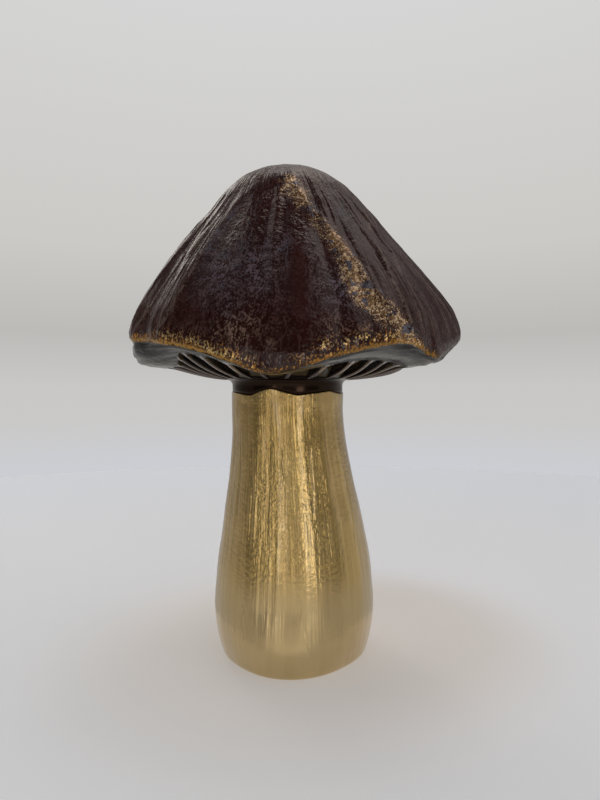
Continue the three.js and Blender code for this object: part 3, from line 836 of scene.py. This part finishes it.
# Material helpers
MIX_FACTOR, MIX_A, MIX_B, MIX_RESULT = 0, 6, 7, 2


def new_material(name):
    material = bpy.data.materials.new(name)
    material.use_nodes = True
    tree = material.node_tree
    return material, tree, tree.nodes["Principled BSDF"]


def link_or_set(socket, value):
    if isinstance(value, bpy.types.NodeSocket):
        socket.id_data.links.new(value, socket)
    elif socket.type == "RGBA":
        socket.default_value = (*value, 1)
    else:
        socket.default_value = value


def add(tree, kind, inputs=None, **settings):
    """New node, with its settings and its inputs as numbers, colours or sockets."""
    node = tree.nodes.new(kind)
    for name, value in settings.items():
        setattr(node, name, value)
    for name, value in (inputs or {}).items():
        link_or_set(node.inputs[name], value)
    return node


def attribute(tree, name, output="Fac"):
    return add(tree, "ShaderNodeAttribute", attribute_name=name).outputs[output]


def math_node(operation, a, b=0, c=0):
    return add(a.id_data, "ShaderNodeMath", {0: a, 1: b, 2: c}, operation=operation).outputs[0]


def product(a, b):
    return math_node("MULTIPLY", a, b)


def scaled(value, scale, start=0):
    """A value times a scale, on top of a start."""
    return math_node("MULTIPLY_ADD", value, scale, start)


def swung(value, swing, middle):
    """A middle that a noise swings up and down."""
    return scaled(math_node("SUBTRACT", value, 0.5), swing, middle)


def highest(value, *others):
    for other in others:
        value = math_node("MAXIMUM", value, other)
    return value


def vector_node(vector, operation, fixed=(0, 0, 0)):
    inputs = {0: vector, 1: fixed}
    return add(vector.id_data, "ShaderNodeVectorMath", inputs, operation=operation).outputs["Value"]


def ramp(value, low, high, to_low=0, to_high=1):
    """A smooth step from one value at the low end to another at the high end."""
    inputs = {"Value": value, "From Min": low, "From Max": high, "To Min": to_low, "To Max": to_high}
    node = add(value.id_data, "ShaderNodeMapRange", inputs, interpolation_type="SMOOTHSTEP", clamp=True)
    return node.outputs["Result"]


def mix(factor, a, b):
    inputs = {MIX_FACTOR: factor, MIX_A: a, MIX_B: b}
    return add(factor.id_data, "ShaderNodeMix", inputs, data_type="RGBA").outputs[MIX_RESULT]


def bump(height):
    """Normal of a relief that is given in millimetres."""
    inputs = {"Height": height, "Strength": 1, "Distance": MM}
    return add(height.id_data, "ShaderNodeBump", inputs).outputs["Normal"]


def surface_layers(tree, fields, noises):
    """Sockets of a piece's fields and of its finish's noises, by name."""
    layers = {name: attribute(tree, name) for name in fields}
    vectors = {
        "grain": attribute(tree, "grain", "Vector"),
        "space": add(tree, "ShaderNodeTexCoord").outputs["Object"],
    }
    for name, (source, scale, detail, roughness) in noises.items():
        mapping = add(tree, "ShaderNodeMapping", {"Vector": vectors[source], "Scale": scale})
        inputs = {"Vector": mapping.outputs["Vector"], "Scale": 1, "Detail": detail, "Roughness": roughness}
        layers[name] = add(tree, "ShaderNodeTexNoise", inputs).outputs["Fac"]
    return SimpleNamespace(**layers)


# Dark glaze: nearly black brown, red where it is thinner, amber where it breaks over the rim
# Painted light in these colours: bluish sheen in the frost, highlights on ridge and gill crests, sheen
# streaks on the lip, shade under the cap, glints at the rim
GLAZE_DEEP = (0.026, 0.0068, 0.005)
GLAZE_RED = (0.046, 0.008, 0.0055)
GLAZE_GRAIN = (0.08, 0.036, 0.029)
# Frost colours, partly a painted bluish sheen
GLAZE_FROST_SHEEN = (0.17, 0.13, 0.16)
GLAZE_BLUE_SHEEN = (0.11, 0.12, 0.15)
GLAZE_STRAND = (0.1, 0.06, 0.047)
# Painted highlight along the crests of the narrow flank ridges
GLAZE_RIDGE_HIGHLIGHT = (0.18, 0.13, 0.108)
# Painted shade under the cap: the gills far darker than the glaze on top
GLAZE_SHADE = (0.0075, 0.0055, 0.005)
GLAZE_LIP = (0.012, 0.01, 0.01)
# Painted sheen: pale streaks along the lip
GLAZE_LIP_SHEEN_STREAK = (0.075, 0.07, 0.072)
GLAZE_NECK = (0.028, 0.017, 0.012)
# Painted highlight along the gill crests
GLAZE_CREST_HIGHLIGHT = (0.28, 0.24, 0.23)
AMBER_DEEP = (0.036, 0.012, 0.004)
AMBER_BRIGHT = (0.6, 0.26, 0.045)
# Painted highlight: pale glints in the amber band
AMBER_PALE_HIGHLIGHT = (1, 0.68, 0.28)
EDGE_GOLD = (0.47, 0.26, 0.06)
RIDGE_BROWN = (0.34, 0.19, 0.085)
RIDGE_GOLD = (0.95, 0.7, 0.42)
# Painted bluish sheen in patches on the speckled ridge
RIDGE_BLUE_SHEEN = (0.16, 0.17, 0.21)
WORN_BEIGE = (0.36, 0.235, 0.17)
GLAZE_FIELDS = (
    "on_top", "lip", "neck", "gill_crest", "flank", "line", "red", "frost", "worn", "amber", "edge_line",
    "glint", "ridge",
)

# Noises: along the grain or through space, scale, detail, roughness
GLAZE_NOISES = {
    "strands": ("grain", (34, 34, 1.4), 2, 0.55),
    "fibres": ("grain", (105, 105, 4), 1, 0.5),
    "broad": ("grain", (9, 9, 1.6), 1, 0.5),
    "bands": ("grain", (6, 6, 60), 2, 0.55),
    "clusters": ("space", (330, 330, 330), 3, 0.7),
    "patches": ("space", (200, 200, 200), 2, 0.6),
    "mottle": ("space", (700, 700, 525), 1, 0.5),
    "specks": ("space", (1450, 1450, 1087.5), 2, 0.6),
    "flecks": ("space", (2100, 2100, 2100), 2, 0.6),
    "tone": ("space", (900, 900, 900), 1, 0.5),
}

# Where each layer begins and is full, as a value of its noise, and how far it covers
CLUSTER_SWING = 0.8
BLUE_SHEEN_PATCHES = (0.5, 0.6)
GRAIN_RANGE = (0.46, 0.68)
GRAIN_BY_FROST_SHEEN = 0.05
GRAIN_BY_FIBRES = 0.6
GRAIN_COVER = 0.92
GRAIN_COVER_BY_RED = -0.55
STRAND_FIBRES = (0.46, 0.62)
STRAND_RANGE = (0.44, 0.6)
STRAND_COVER = 0.9
LINE_RANGE = (0.36, 0.56)
AMBER_SPREAD = 0.45
AMBER_RANGE = (0.6, 0.72)
AMBER_FROM = (0.02, 0.15)
AMBER_PATCHES = (0.38, 0.56, 0.45, 1)
AMBER_SPECKS = (0.45, 0.6)
AMBER_PALE_RANGE = (0.94, 1.04)
AMBER_PALE_BY_TONE = 0.5
AMBER_PALE_BY_GLINT = 0.27
AMBER_LUSTRE = 0.7
GLINT_RANGE = (0.5, 0.64)
EDGE_RANGE = (0.24, 0.44)
FLECK_SWING = 0.45
RIDGE_SPREAD = 0.2
RIDGE_RANGE = (0.585, 0.685)
RIDGE_FROM = (0.06, 0.35)
RIDGE_TONES = (0.44, 0.6)
RIDGE_BLUE_SHEEN_PATCHES = (0.54, 0.6)
RIDGE_LUSTRE = 0.4
LIP_SHEEN_STREAKS = (0.5, 0.66)
CREST_RANGE = (0.76, 1)
GLAZE_IOR = 1.45
GLAZE_ROUGHNESS = 0.06
ROUGHER_BY_MOTTLE = 0.08
ROUGHER_BY_GRAIN = 0.08
ROUGHER_ON_FLANK = 0.05

# Relief too fine for the mesh: noise, height in millimetres, change of the height on the flanks
GLAZE_RELIEF = [
    ("strands", 0.08, 0.22), ("fibres", 0.01, 0.02), ("mottle", 0.26, -0.12), ("specks", 0.09, -0.04),
]
RELIEF_UNDER_RIM = 0.1
LIP_BAND_RELIEF = 0.14


def glaze_face(layers):
    """Colour with grain, frost and painted sheen in patches, pale strands and painted highlights on ridge
    crests; and how far the grain covers it.
    """
    colour = mix(product(layers.broad, layers.red), GLAZE_DEEP, GLAZE_RED)
    frost_sheen_colour = mix(ramp(layers.patches, *BLUE_SHEEN_PATCHES), GLAZE_FROST_SHEEN, GLAZE_BLUE_SHEEN)
    light = mix(layers.worn, mix(layers.frost, GLAZE_GRAIN, frost_sheen_colour), WORN_BEIGE)
    covered = scaled(layers.frost, GRAIN_BY_FROST_SHEEN, layers.clustered)
    covered = swung(layers.fibres, product(layers.worn, GRAIN_BY_FIBRES), covered)
    grained = ramp(covered, *GRAIN_RANGE)
    bare = scaled(layers.red, GRAIN_COVER_BY_RED, GRAIN_COVER)
    colour = mix(product(grained, bare), colour, light)
    pale = product(layers.flank, ramp(layers.fibres, *STRAND_FIBRES))
    pale = product(pale, ramp(layers.strands, *STRAND_RANGE))
    colour = mix(product(pale, STRAND_COVER), colour, GLAZE_STRAND)
    # Painted highlight along the narrow ridges' crests
    ridge_highlight = product(layers.line, ramp(covered, *LINE_RANGE))
    return mix(ridge_highlight, colour, GLAZE_RIDGE_HIGHLIGHT), grained


def glaze_gold(layers, colour):
    """The amber band over the rim with its painted glints and highlights, and the speckled ridge, laid over
    a colour; and their lustre.
    """
    amber = ramp(scaled(layers.amber, AMBER_SPREAD, layers.clustered), *AMBER_RANGE)
    amber = product(amber, ramp(layers.amber, *AMBER_FROM))
    amber = product(amber, ramp(layers.patches, *AMBER_PATCHES))
    # Painted glints on the rim
    glint = product(layers.glint, ramp(layers.clustered, *GLINT_RANGE))
    warm = mix(ramp(layers.specks, *AMBER_SPECKS), AMBER_DEEP, AMBER_BRIGHT)
    # Pale painted highlight specks in the amber band, more where the glints are
    pale = scaled(layers.tone, AMBER_PALE_BY_TONE, layers.specks)
    pale = scaled(layers.glint, AMBER_PALE_BY_GLINT, pale)
    warm = mix(ramp(pale, *AMBER_PALE_RANGE), warm, AMBER_PALE_HIGHLIGHT)
    colour = mix(highest(amber, glint), colour, warm)
    edge = product(layers.edge_line, ramp(layers.clustered, *EDGE_RANGE))
    colour = mix(edge, colour, EDGE_GOLD)
    flecked = swung(layers.clusters, FLECK_SWING, layers.flecks)
    ridge = ramp(scaled(layers.ridge, RIDGE_SPREAD, flecked), *RIDGE_RANGE)
    ridge = product(ridge, ramp(layers.ridge, *RIDGE_FROM))
    speckled = mix(ramp(layers.tone, *RIDGE_TONES), RIDGE_BROWN, RIDGE_GOLD)
    # Painted bluish sheen in patches over the ridge
    speckled = mix(ramp(layers.patches, *RIDGE_BLUE_SHEEN_PATCHES), speckled, RIDGE_BLUE_SHEEN)
    metal = (product(amber, AMBER_LUSTRE), glint, edge, product(ridge, RIDGE_LUSTRE))
    return mix(ridge, colour, speckled), highest(*metal)


def glaze_underside(layers, colour):
    """A cooler underside in painted shade, darker than the top, with painted sheen streaks on the lip and
    painted highlights on the gill crests.
    """
    # Painted sheen streaks along the lip
    lip = mix(ramp(layers.bands, *LIP_SHEEN_STREAKS), GLAZE_LIP, GLAZE_LIP_SHEEN_STREAK)
    # Painted shade over the gills under the cap
    shade = mix(layers.neck, mix(layers.lip, GLAZE_SHADE, lip), GLAZE_NECK)
    colour = mix(layers.on_top, shade, colour)
    # Painted highlight along the gill crests
    return mix(ramp(layers.gill_crest, *CREST_RANGE), colour, GLAZE_CREST_HIGHLIGHT)


def glaze_relief(layers):
    height = 0
    for name, plain, on_flank in GLAZE_RELIEF:
        height = scaled(getattr(layers, name), scaled(layers.flank, on_flank, plain), height)
    height = product(height, scaled(layers.on_top, 1 - RELIEF_UNDER_RIM, RELIEF_UNDER_RIM))
    return scaled(layers.bands, product(layers.lip, LIP_BAND_RELIEF), height)


def glaze_material():
    material, tree, shader = new_material("dark_glaze")
    layers = surface_layers(tree, GLAZE_FIELDS, GLAZE_NOISES)
    layers.clustered = swung(layers.clusters, CLUSTER_SWING, layers.specks)
    colour, grained = glaze_face(layers)
    colour, lustre = glaze_gold(layers, colour)
    rough = scaled(layers.mottle, ROUGHER_BY_MOTTLE, GLAZE_ROUGHNESS)
    rough = scaled(grained, ROUGHER_BY_GRAIN, rough)
    rough = scaled(layers.flank, ROUGHER_ON_FLANK, rough)
    metallic = highest(product(lustre, layers.on_top), layers.neck)
    link_or_set(shader.inputs["Base Color"], glaze_underside(layers, colour))
    link_or_set(shader.inputs["Metallic"], metallic)
    link_or_set(shader.inputs["Roughness"], rough)
    link_or_set(shader.inputs["Normal"], bump(glaze_relief(layers)))
    shader.inputs["IOR"].default_value = GLAZE_IOR
    return material


# Gold: satin metal finish with upright streaks and a crackled, leafy surface
GOLD_DEEP = (0.56, 0.385, 0.128)
GOLD_PALE = (0.68, 0.475, 0.18)
# Paler, less saturated gold towards the foot
GOLD_PALER_LOW = (0.595, 0.453, 0.228)
# Painted shade in the creases and sunken relief
GOLD_CREASE_SHADE = (0.3, 0.19, 0.055)
# Painted shade: browner gold towards the top of the stem, under the cap
GOLD_UNDER_CAP_SHADE = (0.45, 0.29, 0.088)
GOLD_NOISES = {
    "streaks": ("grain", (16, 16, 0.8), 2, 0.5),
    "brush": ("grain", (90, 90, 5), 2, 0.6),
    "cloud": ("space", (90, 90, 90), 2, 0.5),
    "crackle": ("space", (532, 532, 760), 2, 0.6),
}
STREAK_RANGE = (0.3, 0.7)
UNDER_CAP_SHADE_FROM = (0.68, 0.98)
UNDER_CAP_SHADE_CLOUDS = (0.3, 0.6)
UNDER_CAP_SHADE_COVER = 0.8
LOW_BAND_FROM = (0.4, 0.22)
LOW_BAND_COVER = 0.8
CREASE_SHADE_COVER = 0.35
GOLD_METALLIC = 0.94
GOLD_COAT = 0.7
GOLD_COAT_ROUGHNESS = 0.16
GOLD_COAT_IOR = 1.65
GOLD_ROUGHNESS = 0.13
ROUGHER_BY_CLOUD = 0.09
ROUGHER_IN_LOW_BAND = 0.04
STREAK_RELIEF = 0.3
BRUSH_RELIEF = 0.055
CRACKLE_RELIEF = 0.24
CRACKLE_IN_LOW_BAND = 0.03


def gold_material():
    material, tree, shader = new_material("gold")
    layers = surface_layers(tree, ("height", "hollow"), GOLD_NOISES)
    colour = mix(ramp(layers.streaks, *STREAK_RANGE), GOLD_DEEP, GOLD_PALE)
    # Painted shade under the cap, in clouds, towards the top of the stem
    brown = product(ramp(layers.height, *UNDER_CAP_SHADE_FROM), ramp(layers.cloud, *UNDER_CAP_SHADE_CLOUDS))
    colour = mix(product(brown, UNDER_CAP_SHADE_COVER), colour, GOLD_UNDER_CAP_SHADE)
    # Paler, rougher gold with less crackle towards the foot
    low_band = ramp(layers.height, *LOW_BAND_FROM)
    colour = mix(product(low_band, LOW_BAND_COVER), colour, GOLD_PALER_LOW)
    rough = scaled(layers.cloud, ROUGHER_BY_CLOUD, GOLD_ROUGHNESS)
    relief = scaled(layers.brush, BRUSH_RELIEF, product(layers.streaks, STREAK_RELIEF))
    leaf = ramp(low_band, 0, 1, CRACKLE_RELIEF, CRACKLE_IN_LOW_BAND)
    # Painted shade in the creases and sunken relief
    colour = mix(product(layers.hollow, CREASE_SHADE_COVER), colour, GOLD_CREASE_SHADE)
    link_or_set(shader.inputs["Base Color"], colour)
    link_or_set(shader.inputs["Roughness"], scaled(low_band, ROUGHER_IN_LOW_BAND, rough))
    link_or_set(shader.inputs["Normal"], bump(scaled(layers.crackle, leaf, relief)))
    shader.inputs["Metallic"].default_value = GOLD_METALLIC
    shader.inputs["Coat Weight"].default_value = GOLD_COAT
    shader.inputs["Coat Roughness"].default_value = GOLD_COAT_ROUGHNESS
    shader.inputs["Coat IOR"].default_value = GOLD_COAT_IOR
    return material


# Stage: a pale floor that sweeps up into a wall all round and closes overhead
FLOOR_NEAR = 0.062
FLOOR_RADIUS = 0.62
FLOOR_RINGS = (0.0005, 0.03, FLOOR_NEAR)
FAR_FLOOR_RINGS = (FLOOR_NEAR, 0.3, FLOOR_RADIUS)
SWEEP_RADIUS = 0.3
WALL_HEIGHT = 1.05
DOME_HEIGHT = 1.75
SWEEP_ANGLES = np.radians(np.linspace(0, 90, 25))
DOME_ANGLES = np.radians(np.linspace(0, 89, 20))
STAGE_SIDES = 128
FLOOR_COLOUR = (0.78, 0.78, 0.78)
FLOOR_ROUGHNESS = 0.6
FLOOR_SPECULAR = 0.15
# Painted shadow round the foot, and a warmer, dimmer glow near it: painted bounce light from the gold with
# soft shade
FLOOR_CONTACT_SHADOW = (0.257, 0.247, 0.232)
FLOOR_BOUNCE_AND_SHADE = (0.305, 0.296, 0.28)
FLOOR_GLOW_NEAR = (0.313, 0.335, 0.35)
FLOOR_GLOW_FAR = (0.297, 0.336, 0.371)
FAR_REACH = (0.12, 0.55)
BOUNCE_AND_SHADE_REACH = (0.05, 0.115)
CONTACT_SHADOW_MIDDLE = (0.03, 0.022, 0)
CONTACT_SHADOW_REACH = (0.04, 0.095)
WALL_GLOW = [
    (0, (0.605, 0.61, 0.645)), (0.06, (0.585, 0.58, 0.57)), (0.11, (0.58, 0.575, 0.565)),
    (0.2, (0.5, 0.495, 0.48)), (0.36, (0.6, 0.59, 0.57)), (0.8, (0.665, 0.665, 0.665)),
]


def revolve(name, outline, material):
    """Open surface of revolution from an outline of radius and height, in metres."""
    turn = 2 * math.pi * np.arange(STAGE_SIDES) / STAGE_SIDES
    points = [(r * math.cos(a), r * math.sin(a), z) for r, z in outline for a in turn]
    quads, _, _ = ring_quads(len(outline), STAGE_SIDES, 0)
    surface = new_object(name, points, quads.tolist(), material)
    return surface


def floor_material():
    material, tree, shader = new_material("stage_floor")
    shader.inputs["Base Color"].default_value = (*FLOOR_COLOUR, 1)
    shader.inputs["Roughness"].default_value = FLOOR_ROUGHNESS
    shader.inputs["Specular IOR Level"].default_value = FLOOR_SPECULAR
    place_in = add(tree, "ShaderNodeTexCoord").outputs["Object"]
    reach = vector_node(place_in, "LENGTH")
    # Painted shadow and painted bounce light round the foot
    from_shadow_middle = vector_node(place_in, "DISTANCE", CONTACT_SHADOW_MIDDLE)
    glow = mix(ramp(reach, *FAR_REACH), FLOOR_GLOW_NEAR, FLOOR_GLOW_FAR)
    glow = mix(ramp(reach, *BOUNCE_AND_SHADE_REACH), FLOOR_BOUNCE_AND_SHADE, glow)
    glow = mix(ramp(from_shadow_middle, *CONTACT_SHADOW_REACH), FLOOR_CONTACT_SHADOW, glow)
    link_or_set(shader.inputs["Emission Color"], glow)
    shader.inputs["Emission Strength"].default_value = 1
    return material


def wall_material():
    material, tree, _ = new_material("stage_wall")
    tree.nodes.clear()
    place_in = add(tree, "ShaderNodeTexCoord").outputs["Object"]
    height = add(tree, "ShaderNodeSeparateXYZ", {"Vector": place_in}).outputs["Z"]
    share = math_node("DIVIDE", height, WALL_HEIGHT)
    shades = add(tree, "ShaderNodeValToRGB", {"Fac": share})
    stops = shades.color_ramp.elements
    while len(stops) < len(WALL_GLOW):
        stops.new(0.5)
    for stop, (position, colour) in zip(stops, WALL_GLOW):
        stop.position = position
        stop.color = (*colour, 1)
    glow = add(tree, "ShaderNodeEmission", {"Color": shades.outputs["Color"], "Strength": 1})
    add(tree, "ShaderNodeOutputMaterial", {"Surface": glow.outputs["Emission"]})
    return material


def build_stage():
    floor_finish = floor_material()
    revolve("stage_floor", [(radius, 0) for radius in FLOOR_RINGS], floor_finish)
    far_floor = revolve("stage_floor_far", [(radius, 0) for radius in FAR_FLOOR_RINGS], floor_finish)
    far_floor.visible_glossy = False
    outline = [
        (FLOOR_RADIUS + SWEEP_RADIUS * math.sin(a), SWEEP_RADIUS * (1 - math.cos(a))) for a in SWEEP_ANGLES
    ]
    wall_radius = outline[-1][0]
    for a in DOME_ANGLES:
        height = WALL_HEIGHT + (DOME_HEIGHT - WALL_HEIGHT) * math.sin(a)
        outline.append((wall_radius * math.cos(a), height))
    wall = revolve("stage_wall", outline, wall_material())
    wall.visible_glossy = False
    wall.visible_diffuse = False
    wall.visible_shadow = False


# Studio light round the object: azimuth, elevation, half-widths, softness in degrees, colour
ROOM = (0.07, 0.07, 0.07)
GROUND = (0.43, 0.412, 0.386)
GROUND_TOP = -1
GROUND_FULL = -12
PANELS = [
    ("back_low", 180, -5, 60, 18, 8, (0.34, 0.33, 0.32)),
    ("left_low", -98, -5, 36, 18, 8, (0.27, 0.26, 0.25)),
    ("right_low", 96, -5, 36, 18, 8, (0.48, 0.47, 0.46)),
    ("back_wall", 180, 30, 62, 26, 10, (0.46, 0.42, 0.4)),
    ("back_top", 168, 69, 62, 13, 8, (1.75, 1.5, 1.37)),
    ("right_window", 88, 46, 32, 28, 12, (0.54, 0.475, 0.455)),
    ("right_back_gap", 141, 20, 22, 17, 10, (0.1, 0.09, 0.09)),
    ("right_glint", 95, 60, 7, 10, 6, (1.2, 1.08, 1.02)),
    ("left_window", -116, 48, 18, 16, 10, (0.13, 0.11, 0.1)),
    ("left_glint", -151, 32, 8, 10, 5, (2, 1.85, 1.7)),
    ("left_back_gap", -113, 22, 18, 9, 8, (0.14, 0.11, 0.1)),
    ("left_high", -145, 64, 16, 9, 8, (0.85, 0.75, 0.69)),
    ("overhead", 0, 86, 180, 5, 5, (0.05, 0.04, 0.04)),
    ("left_gap", -112, 74, 24, 8, 6, (0.03, 0.02, 0.02)),
    ("front_high", -38, 62, 46, 8, 8, (0.16, 0.13, 0.15)),
    ("left_blue", -80, 67, 5, 6, 4, (0.65, 0.7, 0.84)),
    ("front_dark", -25, 42, 50, 11, 7, (0.02, 0.02, 0.02)),
    ("front_middle", -10, 21, 45, 8, 6, (0.45, 0.45, 0.45)),
    ("window_frame", 0, -2, 68, 15, 6, (0.19, 0.19, 0.19)),
    ("window_frame_left", -58, -2, 14, 15, 6, (0.12, 0.12, 0.12)),
    ("window", 4, -2, 34, 15, 5, (0.27, 0.26, 0.25)),
    ("window_left_pane", -26, 1, 3, 15, 3, (2.9, 2.8, 2.66)),
    ("window_middle_pane", -13, 6, 3, 9, 3, (0.75, 0.73, 0.68)),
    ("window_right_pane", 27, 4, 7.5, 15, 5, (2.25, 2.18, 2.05)),
]
GROUND_AHEAD = ("ground_ahead", 0, -15, 38, 11, 12, (0.66, 0.635, 0.605))


def direction_of(azimuth, elevation):
    """Unit vector for an azimuth and an elevation in radians."""
    level = math.cos(elevation)
    return Vector((level * math.sin(azimuth), -level * math.cos(azimuth), math.sin(elevation)))


def with_panel(direction, colour, panel):
    """The light from all round, with one soft box laid over it."""
    label, *angles, light = panel
    azimuth, elevation, wide, tall, soft = (math.radians(angle) for angle in angles)
    middle = direction_of(azimuth, elevation)
    sideways = direction_of(azimuth + math.pi / 2, 0)
    upward = sideways.cross(middle)
    ahead = vector_node(direction, "DOT_PRODUCT", middle)
    inside = 1
    for axis, reach in ((sideways, wide), (upward, tall)):
        away = math_node("ARCTAN2", vector_node(direction, "DOT_PRODUCT", axis), ahead)
        away = math_node("ABSOLUTE", away)
        within = ramp(away, reach - soft / 2, reach + soft / 2, 1, 0)
        inside = product(within, inside)
    layered = mix(inside, colour, light)
    layered.node.label = label
    return layered


def build_light():
    world = bpy.data.worlds.new("studio")
    bpy.context.scene.world = world
    world.use_nodes = True
    tree = world.node_tree
    tree.nodes.clear()
    direction = add(tree, "ShaderNodeTexCoord").outputs["Generated"]
    colour = ROOM
    for panel in PANELS:
        colour = with_panel(direction, colour, panel)
    ground_full, ground_top = (math.sin(math.radians(angle)) for angle in (GROUND_FULL, GROUND_TOP))
    ground = ramp(vector_node(direction, "DOT_PRODUCT", (0, 0, 1)), ground_full, ground_top, 1, 0)
    colour = mix(ground, colour, GROUND)
    colour = with_panel(direction, colour, GROUND_AHEAD)
    background = add(tree, "ShaderNodeBackground", {"Color": colour, "Strength": 1})
    add(tree, "ShaderNodeOutputWorld", {"Surface": background.outputs["Background"]})


def build_camera():
    camera_data = bpy.data.cameras.new("camera")
    camera_data.sensor_width = CAMERA_SENSOR
    camera_data.lens = CAMERA_LENS
    camera_data.clip_start = CAMERA_CLIP_START
    camera = bpy.data.objects.new("camera", camera_data)
    camera.location = CAMERA_PLACE
    camera.rotation_euler = (math.radians(90 - CAMERA_PITCH), 0, 0)
    bpy.context.scene.collection.objects.link(camera)
    bpy.context.scene.camera = camera


bpy.context.scene.view_settings.view_transform = "Standard"
build_camera()
build_stage()
build_light()
build_cap(glaze_material())
build_stem(gold_material())
